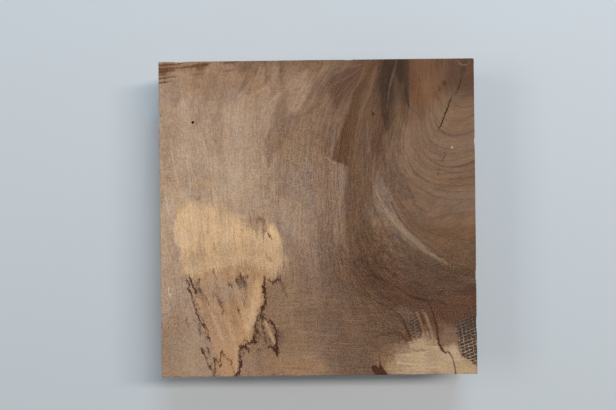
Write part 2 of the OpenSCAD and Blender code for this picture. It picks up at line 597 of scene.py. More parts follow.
# The second list is of pale sapwood at the front right corner, and the shades round it
sapMarks = [
    ("plainTan", 0.55, 8.0, [(43.6, -97, 4), (46, -95.4, 8), (52, -94, 10), (58, -92, 12), (64, -89, 15),
        (70, -88, 16), (78, -89, 14), (86, -88, 15), (94, -93, 10), (103, -95, 8)]),
    ("cream", 0.6, 5.0, [(45.4, -97, 4), (48.6, -95.6, 7), (53, -95, 8.4), (57, -94.6, 9.6),
        (60, -93.4, 12), (64, -91, 14), (70, -91, 13.6), (75, -92, 12), (79, -94, 9), (84, -94, 10),
        (88, -94, 10.6), (94, -97, 7.6), (103, -99, 6)]),
    ("cream", 0.6, 5.0, [(50, -97, 4), (55, -96, 7), (60, -94, 9), (65, -91.4, 12), (70, -89.4, 13),
        (75, -91, 10.6), (80, -95, 8), (85, -94.6, 9.6), (90, -96, 8), (96, -100, 4), (103, -102, 3)]),
    ("paleTan", 0.4, 3.0, [(85.6, -84, 0.6), (87, -88, 2.4), (90, -93, 1.6)]),
    ("soot", 0.6, 2.4, [(57.6, -63, 0.6), (60, -66, 3), (62, -70, 4), (62.6, -74, 3.4), (63, -78, 2.4)]),
    ("pinkTan", 0.3, 5.0, [(42, -85, 1), (48, -85.4, 3), (54, -84.4, 3.4), (59, -83, 2)]),
    ("soot", 0.4, 7.0, [(56, -44, 1), (62, -47, 3), (68, -50, 3.6), (75, -52.4, 3.4), (82, -54.6, 2),
        (88, -57, 0)]),
    ("ringTan", 0.5, 4.0, [(77, -66, 0.4), (80, -70, 2), (83.6, -75, 3.4), (85, -80, 2.4)]),
    ("soot", 0.95, 2.0, [(101.6, -64, 0.8), (98, -68, 4), (95.6, -70.6, 6.4), (95.8, -76, 6.8),
        (96.4, -83, 6.6), (96.9, -88, 5.9), (97.4, -90.6, 4.9), (99.4, -93, 2.6), (101.2, -95, 0.9),
        (102.6, -98, 0.2)]),
]

# The third list says where a net of thin dark lines may show
netMarks = [
    ("lineBrown", 0.75, 1.4, [(-35.2, -38, 1), (-35, -48, 1.8), (-36.4, -58, 2.2), (-38, -66, 2.6),
        (-39.6, -74, 2.6), (-43, -80, 3), (-48, -82.6, 3), (-51, -90, 1.8), (-52, -99, 1.4)]),
    ("lineBrown", 0.9, 1.4, [(-28.4, -70, 0.6), (-27.4, -76, 2), (-28.4, -83, 2.4), (-27.4, -87, 1)]),
    ("lineBrown", 0.5, 2.0, [(-82, -37, 3), (-80.4, -45, 3.6), (-79, -54, 1.4), (-77, -62, 1.6),
        (-75, -69, 3.4), (-72, -78, 1.6), (-72, -88, 2), (-69, -96, 1.4)]),
    ("lineBrown", 0.5, 2.4, [(-52, -35, 1), (-49.6, -39, 3.4), (-47, -44, 1.6), (-49, -54, 1.4),
        (-51, -62, 0.6)]),
    ("lineBrown", 0.7, 2.0, [(-30, -37, 1), (-27.6, -40, 3), (-25, -43, 1.4)]),
    ("lineBrown", 0.6, 2.0, [(-67, -88, 1), (-64, -92, 2.4), (-61, -90, 1)]),
]

# The fourth list is of narrow lines frayed a little
frayedMarks = [
    # the line on the left of the pale patch
    ("lineBrown", 0.95, 0.68, [(-84.7, -39.5, 0.4), (-84, -41.5, 0.6), (-83.3, -43.5, 0.3)]),
    ("lineBrown", 0.95, 0.68, [(-84.7, -43.8, 0.3), (-83, -46, 0.7), (-81.7, -50, 0.5), (-80.2, -54, 0.5),
        (-79, -58, 0.4), (-77.6, -62.5, 0.5), (-76.2, -67, 0.3)]),
    ("lineBrown", 1.0, 0.77, [(-82.6, -37.8, 0.4), (-81.2, -42, 0.8), (-79.7, -45, 1.1),
        (-79, -48.8, 0.3)]),
    ("lineBrown", 0.9, 0.85, [(-77, -38.4, 0.3), (-77, -39.5, 0.6), (-76.9, -40.8, 0.3)]),
    ("lineBrown", 0.78, 0.85, [(-76.8, -43.8, 0.2), (-76.4, -46, 0.6), (-76.2, -48, 0.2)]),
    ("lineBrown", 0.95, 1.02, [(-76, -67, 0.4), (-74.2, -67.6, 1.2), (-72.8, -69, 1.0),
        (-71.5, -70.5, 0.4)]),
    ("lineBrown", 0.67, 0.85, [(-77.2, -68, 0.5), (-76.9, -71, 0.4), (-76, -75, 0.2)]),
    ("lineBrown", 0.9, 0.77, [(-72, -74, 0.3), (-71.2, -76.5, 0.8), (-70.2, -79, 0.3)]),
    ("lineBrown", 0.84, 0.77, [(-71.6, -82, 0.3), (-71.4, -84.5, 0.6), (-71, -86.4, 0.2)]),
    ("lineBrown", 0.9, 0.85, [(-75.8, -84, 0.6), (-74.3, -87.5, 1.2), (-72.6, -91, 0.5), (-71, -94, 0.5),
        (-69, -97, 0.5), (-67.4, -99.8, 0.5)]),
    ("lineBrown", 0.84, 0.68, [(-67.3, -99, 0.4), (-67, -94, 0.4), (-67.6, -91, 0.6),
        (-68.1, -88, 0.3)]),
    ("lineBrown", 0.9, 0.68, [(-68, -91, 0.5), (-66, -91.6, 0.6), (-64, -93.8, 0.7),
        (-62.3, -92.3, 0.5)]),
    ("lineBrown", 0.9, 0.68, [(-62.6, -93, 0.5), (-63.5, -89, 0.4), (-63.1, -85, 0.5)]),
    ("lineBrown", 0.84, 0.59, [(-63.1, -85.2, 0.4), (-61.4, -88, 0.5), (-59, -90.5, 0.4), (-57, -93, 0.3),
        (-55.6, -97, 0.3), (-54.5, -102, 0.3)]),
    # the ragged line on the right of it
    ("lineBrown", 1.0, 0.77, [(-34.4, -38.6, 0.5), (-35, -42, 0.6), (-35.4, -45, 0.9), (-34.8, -48, 1.3),
        (-34.5, -51, 0.6), (-34.1, -54, 0.7), (-35.5, -57, 1.1), (-37.2, -60, 1.3), (-36.8, -62.5, 1.0),
        (-36.3, -65, 0.5)]),
    ("lineBrown", 0.95, 0.68, [(-37.5, -63.6, 0.3), (-39.8, -65.2, 0.6), (-41, -68, 0.6),
        (-40.6, -71, 0.6), (-39, -73.6, 0.9), (-37.5, -75.6, 0.5)]),
    ("lineBrown", 0.84, 0.68, [(-36.8, -65, 0.4), (-36.4, -69, 0.4), (-35.6, -73, 0.4), (-35, -77, 0.4),
        (-33.6, -80.5, 0.3)]),
    ("lineBrown", 1.0, 0.77, [(-39.8, -73.6, 0.5), (-41.6, -75, 0.7), (-41.8, -77.5, 1.0),
        (-41.6, -80, 0.8)]),
    ("lineBrown", 1.0, 0.68, [(-48.6, -78.6, 0.5), (-46, -79.3, 0.9), (-43, -79.6, 0.8),
        (-40, -79.2, 0.5)]),
    ("lineBrown", 1.0, 0.77, [(-50, -81, 0.4), (-51, -84, 1.0), (-51.6, -88, 0.7), (-51, -91, 0.8),
        (-50.5, -95, 0.8), (-51.8, -98, 1.0), (-53.6, -101, 0.6)]),
    ("lineBrown", 1.0, 0.85, [(-50.5, -83.2, 0.9), (-48, -82.6, 1.1), (-46.2, -84, 1.2),
        (-44.6, -84.6, 0.4)]),
    ("lineBrown", 0.67, 0.77, [(-39.8, -84, 0.3), (-38.8, -84.2, 0.7), (-37.8, -84.4, 0.3)]),
    # the loop beside that line
    ("lineBrown", 0.95, 0.68, [(-36.4, -64.2, 0.4), (-34, -65, 0.6), (-31.4, -66.4, 0.8),
        (-29.8, -68, 0.4)]),
    ("lineBrown", 1.0, 0.77, [(-30.4, -67, 0.4), (-28.8, -70, 0.9), (-27.6, -73, 1.1),
        (-27.2, -76.5, 1.4), (-27.8, -80, 0.7), (-27.4, -84, 1.1), (-26.8, -88, 0.4)]),
    ("lineBrown", 1.0, 0.85, [(-33.4, -82.4, 0.3), (-31, -83, 0.9), (-28.8, -84.2, 1.9),
        (-27.2, -85.6, 2.0)]),
    ("lineBrown", 0.67, 0.68, [(-33.6, -72, 0.2), (-32.8, -76, 0.5), (-31.2, -80, 0.3)]),
    ("sand", 0.7, 1.4, [(-34.4, -66.6, 0.7), (-33, -70, 1.3), (-31, -75, 1.2), (-29.4, -79.6, 0.8)]),
    ("purpleBrown", 0.45, 2.5, [(-26, -71, 0.6), (-25, -76, 2.0), (-24, -79, 2.0), (-25, -82, 0.6)]),
    # tufts at the front edge of the pale patch
    ("lineBrown", 0.9, 0.77, [(-33, -38.6, 0.3), (-31, -39.8, 0.7), (-29, -41.6, 1.4), (-27.4, -40, 1.4),
        (-25.4, -39.6, 0.6)]),
    ("lineBrown", 0.62, 0.77, [(-24.8, -38.6, 0.5), (-23.8, -42, 0.7), (-22.2, -46, 0.5),
        (-20.6, -50.5, 0.3)]),
    ("lineBrown", 0.78, 0.77, [(-58.2, -40.4, 0.4), (-56.8, -42.2, 0.7), (-55.6, -44, 0.3)]),
    ("lineBrown", 0.67, 0.85, [(-52.8, -37.6, 0.4), (-52, -40, 1.1), (-51, -43, 0.7),
        (-50.4, -45.6, 0.4)]),
    ("earthBrown", 0.35, 2.0, [(-51, -36, 1.0), (-49.6, -40, 2.0), (-48.4, -44, 1.0)]),
    ("lineBrown", 0.85, 0.7, [(-50.2, -34.6, 0.2), (-49.8, -37.4, 0.6), (-49, -40.4, 0.2)]),
    ("lineBrown", 0.85, 0.7, [(-48.2, -36.2, 0.2), (-47.9, -39, 0.6), (-47.3, -42, 0.3)]),
    ("lineBrown", 0.75, 0.7, [(-53.4, -35.6, 0.2), (-53, -38.2, 0.5), (-52.6, -41, 0.2)]),
    ("lineBrown", 0.9, 0.77, [(-46.2, -36, 0.3), (-46, -37.3, 0.7), (-45.6, -38.8, 0.3)]),
    ("lineBrown", 0.78, 0.77, [(-48.6, -52.6, 0.3), (-48.3, -54.5, 0.7), (-47.9, -57, 0.3)]),
    ("lineBrown", 0.84, 0.77, [(-52.4, -56.4, 0.3), (-52, -58.2, 0.7), (-51.4, -60, 0.3)]),
    ("lineBrown", 0.67, 0.77, [(-71.8, -50, 0.2), (-71.4, -52.8, 0.6), (-70.7, -55, 0.3)]),
    ("lineBrown", 0.56, 0.68, [(-68.3, -32.6, 0.2), (-67, -36, 0.4), (-65.4, -39.6, 0.2)]),
    ("lineBrown", 0.67, 0.68, [(-67.2, -46.4, 0.2), (-65.4, -50.4, 0.3), (-63.4, -54, 0.3),
        (-62, -57.6, 0.4), (-61.4, -61, 0.5)]),
    ("lineBrown", 0.45, 0.85, [(-68.6, -47, 0.3), (-68, -49, 0.6), (-67.4, -51, 0.3)]),
    ("lineBrown", 0.62, 0.77, [(-85.6, -63.6, 0.2), (-84.8, -66.4, 0.5), (-84, -69.4, 0.3)]),
    ("lineBrown", 0.67, 0.77, [(-81, -65.4, 0.3), (-80, -65.7, 0.6), (-79, -65.9, 0.2)]),
    # inside the pale patch
    ("lineBrown", 0.62, 0.77, [(-35.1, 3, 0.3), (-35, -3, 0.5), (-34.9, -9, 0.5), (-34.8, -15, 0.3)]),
    ("stainBrown", 0.6, 1.6, [(-39.6, -0.4, 0.6), (-37.6, -1.2, 1.8), (-36, -1.0, 1.0)]),
    ("lineBrown", 0.84, 0.59, [(-32.2, -9, 0.3), (-31, -11.4, 0.6), (-29.6, -14.2, 0.4)]),
    ("plainTan", 0.6, 1.2, [(-54.3, -4, 0.2), (-53.9, -10, 0.4), (-53.4, -16, 0.5), (-53, -22, 0.3)]),
    ("plainTan", 0.55, 1.2, [(-49.2, -7, 0.3), (-49, -13, 0.4), (-48.4, -19, 0.3)]),
    ("plainTan", 0.6, 1.2, [(-66.9, -14.6, 0.2), (-66.6, -17.6, 0.5), (-66.3, -20.6, 0.2)]),
    ("plainTan", 0.5, 1.4, [(-71, 2, 0.3), (-70.6, -4, 0.5), (-70.6, -10, 0.3)]),
    ("earthBrown", 0.45, 2.2, [(-34, -24.4, 0.6), (-31.4, -25.6, 1.2), (-29.4, -27.4, 0.5)]),
    ("earthBrown", 0.5, 1.0, [(-22.4, -25, 0.2), (-22.3, -28, 0.5), (-21.8, -32, 0.3)]),
    # pale streaks through the warm wood
    ("sand", 0.7, 1.6, [(-60.4, -61.6, 0.3), (-58.4, -66, 0.6), (-56.8, -72, 0.7), (-54.6, -79, 0.9),
        (-53.4, -86, 1.6), (-53.4, -92, 1.2), (-54, -97, 0.5)]),
    ("sand", 0.5, 2.0, [(-68.4, -60, 0.4), (-66.6, -66, 1.0), (-64.6, -72, 1.0), (-63, -78, 0.5)]),
    ("sand", 0.5, 2.4, [(-42.6, -54, 0.6), (-42.4, -60, 1.6), (-44, -68, 1.4), (-46, -75, 0.8)]),
    ("honey", 0.5, 3.0, [(-40, -41, 0.6), (-39.6, -47, 2.6), (-41, -55, 3.4), (-43.4, -63, 2.6),
        (-45, -69, 0.8)]),
    ("honey", 0.4, 2.5, [(-49.4, -53, 0.6), (-48.2, -58, 1.4), (-47, -65, 1.8), (-46, -72, 0.8)]),
    ("honey", 0.35, 2.0, [(-73, -54, 0.3), (-70, -60, 0.8), (-66, -68, 1.2), (-63, -76, 1.0),
        (-60, -84, 0.6)]),
    ("redBrown", 0.3, 3.0, [(-57, -47, 0.6), (-55.4, -53, 2.0), (-55, -61, 2.0), (-54, -69, 0.8)]),
    ("redBrown", 0.25, 3.0, [(-66, -42, 0.6), (-65, -48, 2.0), (-62, -56, 2.0), (-60, -62, 0.6)]),
    ("purpleBrown", 0.35, 3.0, [(-80, -39, 0.6), (-78, -44, 2.4), (-75, -50, 2.0), (-73, -56, 0.6)]),
    ("purpleBrown", 0.4, 3.0, [(-52.6, -34, 0.5), (-50.4, -38, 2.6), (-48, -42, 2.4), (-46, -45, 0.6)]),
    # flecks of bright wood on the left
    ("fleck", 0.8, 0.7, [(-96.8, -44.2, 0.2), (-96.1, -46.6, 0.5), (-95.3, -49.4, 0.3)]),
    ("fleck", 0.6, 0.7, [(-88.8, -51.2, 0.2), (-88.1, -53, 0.4), (-87.6, -54.6, 0.2)]),
]

# The fifth list has edges that keep their line
cleanMarks = [
    # long lines in the pale wood on the left
    ("warmBrown", 0.35, 1.6, [(-92.6, 61, 0.4), (-92.3, 52, 0.8), (-91.6, 43, 0.8), (-90.6, 35, 0.3)]),
    ("fleck", 0.45, 1.2, [(-94, 52, 0.2), (-93.4, 44, 0.5), (-92.6, 37, 0.6), (-91.2, 30, 0.5),
        (-89.6, 22, 0.3)]),
    ("fleck", 0.4, 1.1, [(-84, 38, 0.2), (-83, 32, 0.5), (-82.2, 25, 0.5), (-81.6, 16, 0.2)]),
    ("fleck", 0.35, 1.2, [(-98.6, 22, 0.2), (-97.4, 12, 0.4), (-95.6, 3, 0.3)]),
    ("fleck", 0.2, 1.4, [(-86.6, 84, 0.2), (-85.4, 76, 0.5), (-84.6, 68, 0.3)]),
    ("warmBrown", 0.5, 1.0, [(-73, 61, 0.2), (-72, 54, 0.4), (-70.6, 47, 0.6), (-69.8, 40, 0.4),
        (-69.2, 33, 0.3)]),
    ("earthBrown", 0.42, 1.7, [(-69.3, 31, 0.2), (-68.6, 27.4, 0.6), (-68.4, 22, 0.3), (-68.7, 17, 0.4),
        (-68.3, 12.6, 0.7), (-68, 9.6, 0.3)]),
    ("earthBrown", 0.45, 2.0, [(-79.4, 15, 0.3), (-78, 13, 1.2), (-76.4, 13.6, 1.2), (-75, 14.4, 0.3)]),
    ("warmBrown", 0.45, 1.1, [(-55.4, 67, 0.2), (-55.6, 58, 0.4), (-54, 50, 0.4), (-53, 42, 0.5),
        (-52.8, 34, 0.3)]),
    ("warmBrown", 0.4, 1.2, [(-60, 62, 0.3), (-60.8, 57, 0.6), (-61.4, 52, 0.3)]),
    ("coolBrown", 0.55, 1.1, [(-38.8, 82, 0.2), (-38.6, 68, 0.3), (-38.4, 56, 0.4), (-37.4, 46, 0.4),
        (-36.6, 36, 0.7), (-36.3, 30, 0.4), (-36, 20, 0.3), (-35.4, 8, 0.3)]),
    ("coolBrown", 0.6, 1.1, [(-18.4, 49, 0.2), (-18.9, 42, 0.4), (-19.2, 36, 0.8), (-20.2, 29, 0.5),
        (-21.4, 21, 0.6), (-22.4, 15, 0.3)]),
    ("coolBrown", 0.5, 2.0, [(-21.6, 23, 0.6), (-23.6, 18, 2.0), (-25.4, 14, 3.0), (-27.4, 10.6, 1.6)]),
    # broad soft shades
    ("darkBrown", 0.35, 8.0, [(34, 101, 1), (46, 99, 4), (58, 97.6, 6), (70, 97, 7), (82, 100, 4),
        (92, 98, 4), (103, 97, 5)]),
    ("earthBrown", 0.3, 6.0, [(-56, 100, 1), (-48, 97, 5), (-38, 96, 6), (-30, 99, 2)]),
    ("darkBrown", 0.75, 5.0, [(19, 75, 1), (23.4, 83, 4), (28, 92, 3), (31, 98, 1)]),
    ("midBrown", 0.55, 8.0, [(-16, -62, 1), (-7, -65, 7), (2, -66, 6), (9, -67, 1)]),
    ("coolBrown", 0.45, 8.0, [(-13, 24, 1), (-4, 25, 7), (6, 25, 7), (12, 26, 1)]),
    ("darkBrown", 0.5, 8.0, [(20, -22, 1), (29, -28, 6), (40, -33, 7), (52, -38, 4), (60, -40, 1)]),
    ("earthBrown", 0.6, 8.0, [(60, -21, 1), (72, -23, 6), (84, -21, 7), (103, -20, 8)]),
    ("plainTan", 0.45, 9.0, [(-98, 103, 2), (-94, 90, 5), (-92, 76, 4), (-92, 60, 5), (-96, 44, 6),
        (-98, 28, 5), (-100, 16, 1)]),
    ("plainTan", 0.3, 9.0, [(-66, 1, 1), (-58, 4, 5), (-50, 8, 7), (-42, 9, 4), (-38, 8, 1)]),
    ("warmBrown", 0.3, 7.0, [(-40, 100, 2), (-36, 90, 5), (-33, 80, 5), (-34, 68, 4), (-36, 54, 4),
        (-38, 40, 4), (-40, 32, 1)]),
    ("plainTan", 0.25, 6.0, [(60, 10, 1), (68, 4, 5), (76, 1, 6), (86, 2, 6), (96, 3, 6), (103, 4, 6)]),
    ("earthBrown", 0.45, 5.0, [(66, -78, 1), (70, -79, 2.4), (74, -78, 1)]),
    ("darkBrown", 0.85, 6.0, [(51, 94, 1), (53, 86, 4), (55, 76, 4.6), (56, 68, 4), (57, 60, 1)]),
    ("coolBrown", 0.4, 8.0, [(-28, 92, 1), (-22, 86, 5), (-17, 82, 5), (-10, 84, 3), (-4, 88, 1)]),
    ("warmBrown", 0.3, 8.0, [(-94, 26, 2), (-86, 26, 8), (-76, 25, 9), (-68, 24, 5), (-60, 24, 1)]),
    ("plainTan", 0.4, 5.0, [(34, -89, 0.6), (38, -92, 4), (42, -94, 6), (46, -95, 6)]),
    ("midBrown", 0.55, 7.0, [(-50, 99, 1), (-40, 96.6, 5), (-30, 97, 6), (-16, 97.4, 5), (-4, 97, 6),
        (8, 99, 3)]),
    ("warmBrown", 0.55, 9.0, [(-93, -58, 1), (-95, -68, 8), (-96, -80, 9), (-96, -92, 10),
        (-96, -104, 11)]),
    ("orangeTan", 0.3, 10.0, [(-34, -99, 1), (-22, -96, 7), (-8, -95, 8), (2, -97, 5), (6, -99, 1)]),
    ("pinkTan", 0.4, 8.0, [(-28, 16, 1), (-21, 9, 7), (-17, 0, 8), (-14, -9, 5), (-12, -16, 1)]),
    ("ringTan", 0.5, 4.0, [(50, -60, 1), (55, -62, 4), (59, -63, 2)]),
    ("ringTan", 0.35, 7.0, [(2, 0, 1), (8, 4, 5), (11, 12, 3)]),
    ("redBrown", 0.5, 7.0, [(60, 60, 0.6), (65, 67, 5), (71, 74, 7), (76, 82, 6), (80, 90, 3)]),
    ("darkBrown", 0.6, 6.0, [(55, -29, 1), (64, -33, 5), (75, -36, 6), (88, -37, 6), (103, -38, 6)]),
    ("earthBrown", 0.55, 6.0, [(76, 18, 1), (86, 20, 4), (95, 24, 6), (103, 26, 7)]),
    ("greyTan", 0.2, 8.0, [(-12, 17, 1), (-2, 12, 7), (7, 9, 7), (13, 4, 2)]),
    ("greyBand", 0.3, 7.0, [(74, 13, 1), (83, 11, 5), (92, 11, 5), (101, 13, 3)]),
    ("redBrown", 0.22, 8.0, [(74, 50, 1), (84, 55, 6), (94, 57, 5), (103, 58, 2)]),
    ("warmBrown", 0.2, 8.0, [(-103, 94, 6), (-94, 92, 6), (-85, 80, 6), (-78, 68, 6), (-74, 58, 1)]),
    # the fan of bands at the back
    ("pinkTan", 0.35, 5.0, [(-44, 26, 0.6), (-41, 34, 2.4), (-38, 44, 3), (-36, 56, 3), (-34, 66, 3.4),
        (-32, 74, 3), (-31, 81, 1)]),
    ("pinkTan", 0.3, 6.0, [(-60, 40, 1), (-54, 50, 5), (-52, 60, 6), (-51, 70, 5.4), (-48, 78, 3)]),
    ("coolBrown", 0.75, 3.0, [(-31, 34, 1), (-30.4, 41, 3), (-27, 49, 6), (-22, 56, 9), (-19, 62, 9),
        (-21, 67, 6.4), (-22.6, 71, 3.6), (-21.6, 76, 2.2), (-19.6, 81, 0.8)]),
    ("coolBrown", 0.4, 4.0, [(-16, 58, 1), (-8, 61, 4), (0, 64, 6), (6, 67, 5)]),
    ("pinkTan", 0.34, 3.0, [(-19.6, 66, 0.6), (-16.4, 68.4, 2.6), (-13.4, 72, 4.6), (-12.4, 78, 6),
        (-12, 84, 5.6), (-10, 90, 4.4), (-7, 95, 2)]),
    ("pinkTan", 0.3, 1.6, [(-10.4, 71, 0.3), (-7.6, 77, 0.8), (-6, 82, 0.9), (-3.6, 88, 0.6),
        (-1, 92, 0.3)]),
    ("purpleBrown", 0.4, 2.4, [(-9.6, 71.6, 0.4), (-6, 76, 1.4), (-3, 81, 1.9), (0, 85.6, 2.0),
        (3, 90, 1.4)]),
    ("earthBrown", 0.45, 1.6, [(-16, 64.6, 0.3), (-10, 65.6, 0.8), (-5, 68.4, 1.0), (0, 72, 1.0),
        (4, 75, 0.3)]),
    ("pinkTan", 0.5, 1.4, [(-31, 73, 0.4), (-28, 76, 1.2), (-25.4, 78.6, 1.0), (-22.6, 80.6, 0.3)]),
    ("pinkTan", 0.45, 1.4, [(-40, 79.6, 0.3), (-36.4, 82.4, 1.0), (-32.4, 83.6, 1.0),
        (-28.4, 81.8, 0.3)]),
    ("pinkTan", 0.35, 2.0, [(-27.4, 84, 0.5), (-27, 90, 1.8), (-26.4, 97, 1.4)]),
    ("pinkTan", 0.3, 2.4, [(-36, 88, 0.6), (-35, 93, 1.8), (-35, 98, 1.4)]),
    ("earthBrown", 0.5, 2.4, [(-49.6, 81, 0.4), (-47.4, 85, 1.8), (-45, 89, 2.4), (-43.6, 93, 1.0)]),
    ("earthBrown", 0.35, 3.0, [(-49, 94, 1), (-45.4, 97, 4), (-44, 101.6, 5)]),
    ("earthBrown", 0.35, 2.0, [(-23, 79, 0.4), (-21.8, 85, 1.2), (-21.4, 92, 1.4), (-21.4, 101, 1.4)]),
    ("earthBrown", 0.35, 5.0, [(-16, 99, 1), (-8, 98.6, 3), (0, 98.4, 4), (6, 99, 2)]),
    ("warmBrown", 0.4, 3.0, [(-78, 60, 0.6), (-74, 70, 1.8), (-70.6, 80, 2.2), (-67.4, 90, 1.8),
        (-65, 98, 1)]),
    ("warmBrown", 0.35, 3.0, [(-66, 62, 0.6), (-63, 70, 1.6), (-60, 78, 1.8), (-56.4, 87, 1.4)]),
    ("fleck", 0.15, 5.0, [(-90, 70, 1), (-86, 74, 3.4), (-82, 78.6, 3), (-78, 82, 1)]),
    ("earthBrown", 0.3, 3.0, [(-78, 88, 0.6), (-76, 93, 2.2), (-74, 98, 2.6)]),
    ("coolBrown", 0.35, 4.0, [(-34, 18, 0.6), (-31, 24, 2.4), (-28, 29, 2.4), (-25, 34, 1)]),
    ("paleTan", 0.4, 4.0, [(-44, 14, 0.6), (-42, 22, 2), (-38.6, 30, 2.6), (-35, 38, 1.6)]),
    # a darker strip along the back edge of the top face
    ("earthBrown", 0.45, 3.0, [(-62, 101.8, 0.6), (-30, 101.6, 1.2), (10, 101.4, 1.8), (50, 101.4, 2.0),
        (80, 101.6, 1.6), (103, 101.8, 1.2)]),
    # more of the fan of bands at the back
    ("dustyTan", 0.5, 1.2, [(-38.6, 89, 0.3), (-37.4, 93, 0.6), (-36, 96.6, 0.4)]),
    ("earthBrown", 0.55, 1.4, [(-32.2, 87.6, 0.4), (-32, 90.4, 0.9), (-32.4, 94, 0.4),
        (-32.4, 101, 0.7)]),
    ("earthBrown", 0.45, 1.4, [(-22.8, 88, 0.3), (-22.6, 94, 0.7), (-22.4, 101, 0.8)]),
    ("coolBrown", 0.45, 1.4, [(-10, 49.6, 0.2), (-4, 50.2, 0.5), (2, 49.8, 0.4), (6, 48.6, 0.2)]),
    ("warmBrown", 0.4, 3.0, [(-79.4, 82, 0.6), (-77, 86, 1.6), (-75.4, 91, 1.8), (-74.6, 97, 1.2)]),
    ("warmBrown", 0.4, 2.0, [(-64.6, 79, 0.4), (-63, 82, 0.8), (-61.4, 85.4, 0.3)]),
    # the purple-brown wedge and the dark band beside it
    ("midBrown", 0.6, 6.0, [(0, 76, 1), (4, 81, 5), (7, 87, 8), (12, 92.6, 9), (20, 97, 6)]),
    ("purpleBrown", 0.8, 3.5, [(13.5, 70, 1), (14.5, 75, 4), (15.2, 80, 6.8), (16.7, 85, 8.4),
        (19, 90, 9), (22, 94, 7.5), (27.5, 98.4, 2.6)]),
    ("ringTan", 0.45, 1.6, [(30, 98.4, 0.2), (20, 96, 0.7), (11, 92.6, 1.1), (3, 89.6, 1.0),
        (-3, 87.4, 0.3)]),
    ("midBrown", 0.55, 1.2, [(30, 96.4, 0.2), (22, 91.4, 0.5), (14, 87, 0.7), (6, 83.4, 0.5),
        (0, 81, 0.2)]),
    ("midBrown", 0.55, 1.2, [(29, 93.6, 0.2), (22, 86.4, 0.6), (15, 79.6, 0.7), (9, 73, 0.5),
        (6, 68, 0.2)]),
    ("ringTan", 0.35, 1.6, [(27.4, 90, 0.2), (22, 82.4, 0.7), (17, 74.6, 1.0), (13, 66, 1.0),
        (11, 58, 0.4)]),
    ("umber", 0.9, 1.3, [(38.8, 102, 2.4), (35.4, 96, 2), (33, 91, 1.7), (29.6, 85, 2.2), (26.8, 80, 2.7),
        (25.2, 75, 2.7), (24, 70, 2.9), (22.6, 65, 3.6), (21.2, 60, 4.2), (19.6, 55, 4.4), (18, 50, 4.5),
        (16.2, 45, 4.8), (15, 40, 5.0), (14.8, 37.8, 5.0), (16.2, 36, 3.6), (18.4, 34, 1.4)]),
    ("ringTan", 0.5, 1.2, [(31.4, 97, 0.3), (28.6, 89, 0.7), (24.6, 83, 0.8), (21.6, 78, 0.8),
        (19.4, 71, 0.8), (16.6, 64, 0.8), (14.2, 57, 0.9), (12.6, 51, 1.0), (11, 46, 1.0), (9, 42, 0.9),
        (7, 39.4, 0.4)]),
    ("stainBrown", 0.6, 1.2, [(25.2, 66, 0.2), (24, 58, 0.6), (23.2, 50, 0.8), (22, 43, 0.7),
        (21.4, 36, 0.3)]),
    ("ringTan", 0.4, 1.8, [(38.6, 96, 0.6), (36, 88, 1.4), (33.6, 80, 1.6), (30.4, 73, 1.4),
        (27.4, 65, 1.0), (25.6, 58, 0.9), (25, 50, 0.8), (24.6, 42, 0.7), (24.2, 34, 0.3)]),
    ("dustyTan", 0.8, 0.7, [(5, 39.4, 0.2), (7, 37.8, 0.4), (9.4, 35.8, 0.4), (11.6, 34.9, 0.2)]),
    ("ringTan", 0.8, 0.8, [(7.4, 100.4, 0.1), (10, 97.4, 0.3), (13, 98, 0.5), (16, 98.8, 0.3)]),
    ("greyTan", 0.6, 4.0, [(16, 33.6, 1.4), (15.6, 29, 3), (15.2, 20, 2.6), (14.4, 12, 1.4), (13, 2, 0.8),
        (12, -8, 0.2), (12, -20, -2)]),
    ("redBrown", 0.6, 0.9, [(32.4, 101, 0.4), (30.4, 96, 0.3), (28.6, 91, 0.3)]),
    ("darkBrown", 0.5, 0.9, [(26, 64, 0.2), (24.2, 55, 0.3), (23.4, 47, 0.3), (22.8, 38, 0.3),
        (21.6, 30, 0.6), (21.4, 20, 0.5), (21.2, 12, 0.2)]),
    ("darkBrown", 0.45, 1.0, [(31, 52, 0.3), (30.4, 45, 0.5), (30.6, 36, 0.4), (31, 26, 0.4),
        (31, 15, 0.6), (30.8, 10, 0.2)]),
    ("darkBrown", 0.35, 1.2, [(26.6, 46, 0.3), (26.2, 34, 0.5), (26, 20, 0.5), (25.6, 6, 0.6)]),
    ("ringTan", 0.4, 1.2, [(33.6, 62, 0.3), (32.6, 54, 0.7), (32.8, 46, 0.7), (34, 40, 0.3)]),
    # dark streaks
    ("nearBlack", 0.5, 1.2, [(43.6, 102, 0.8), (43.2, 92, 0.6), (43.4, 84, 0.8), (42.6, 78, 0.8),
        (42.4, 72, 0.5), (43, 64, 0.6), (44, 59, 0.2)]),
    ("nearBlack", 0.4, 2.0, [(45.8, 85, 0.2), (45.2, 77, 0.6), (44.8, 71, 0.9), (45.7, 66, 1.3),
        (45.7, 61, 1.3), (44.6, 56, 0.4)]),
    ("darkBrown", 0.8, 1.0, [(42.6, 59.4, 0.3), (41.6, 56, 1.0), (41, 52, 0.7), (41.8, 46, 0.6),
        (43, 39, 0.8), (43.4, 33, 0.8), (43.8, 29, 0.2)]),
    ("oliveBrown", 0.6, 3.0, [(52.6, 50, 0.6), (53, 60, 1.4), (53, 70, 2.4), (53.4, 80, 3.0),
        (53.4, 90, 3.4)]),
    ("nearBlack", 0.55, 3.0, [(45, 103, 4.6), (44.8, 92, 4.6), (45.2, 82, 4.8), (45.6, 72, 4.4),
        (46, 62, 3.2), (45, 55, 0.4)]),
    ("nearBlack", 0.6, 2.0, [(47, 103, 3.4), (47, 98, 2.8), (46.6, 93, 1.6), (46, 88, 0.5)]),
    ("nearBlack", 0.8, 2.4, [(54.8, 103, 4.6), (54.6, 98, 4.0), (54.4, 93, 3.4), (54.4, 89, 2.4),
        (54.6, 86, 0.8)]),
    ("ringTan", 0.55, 0.8, [(52.2, 102, 0.4), (50.8, 96, 0.5), (49.2, 91, 0.7), (47.8, 86, 0.6),
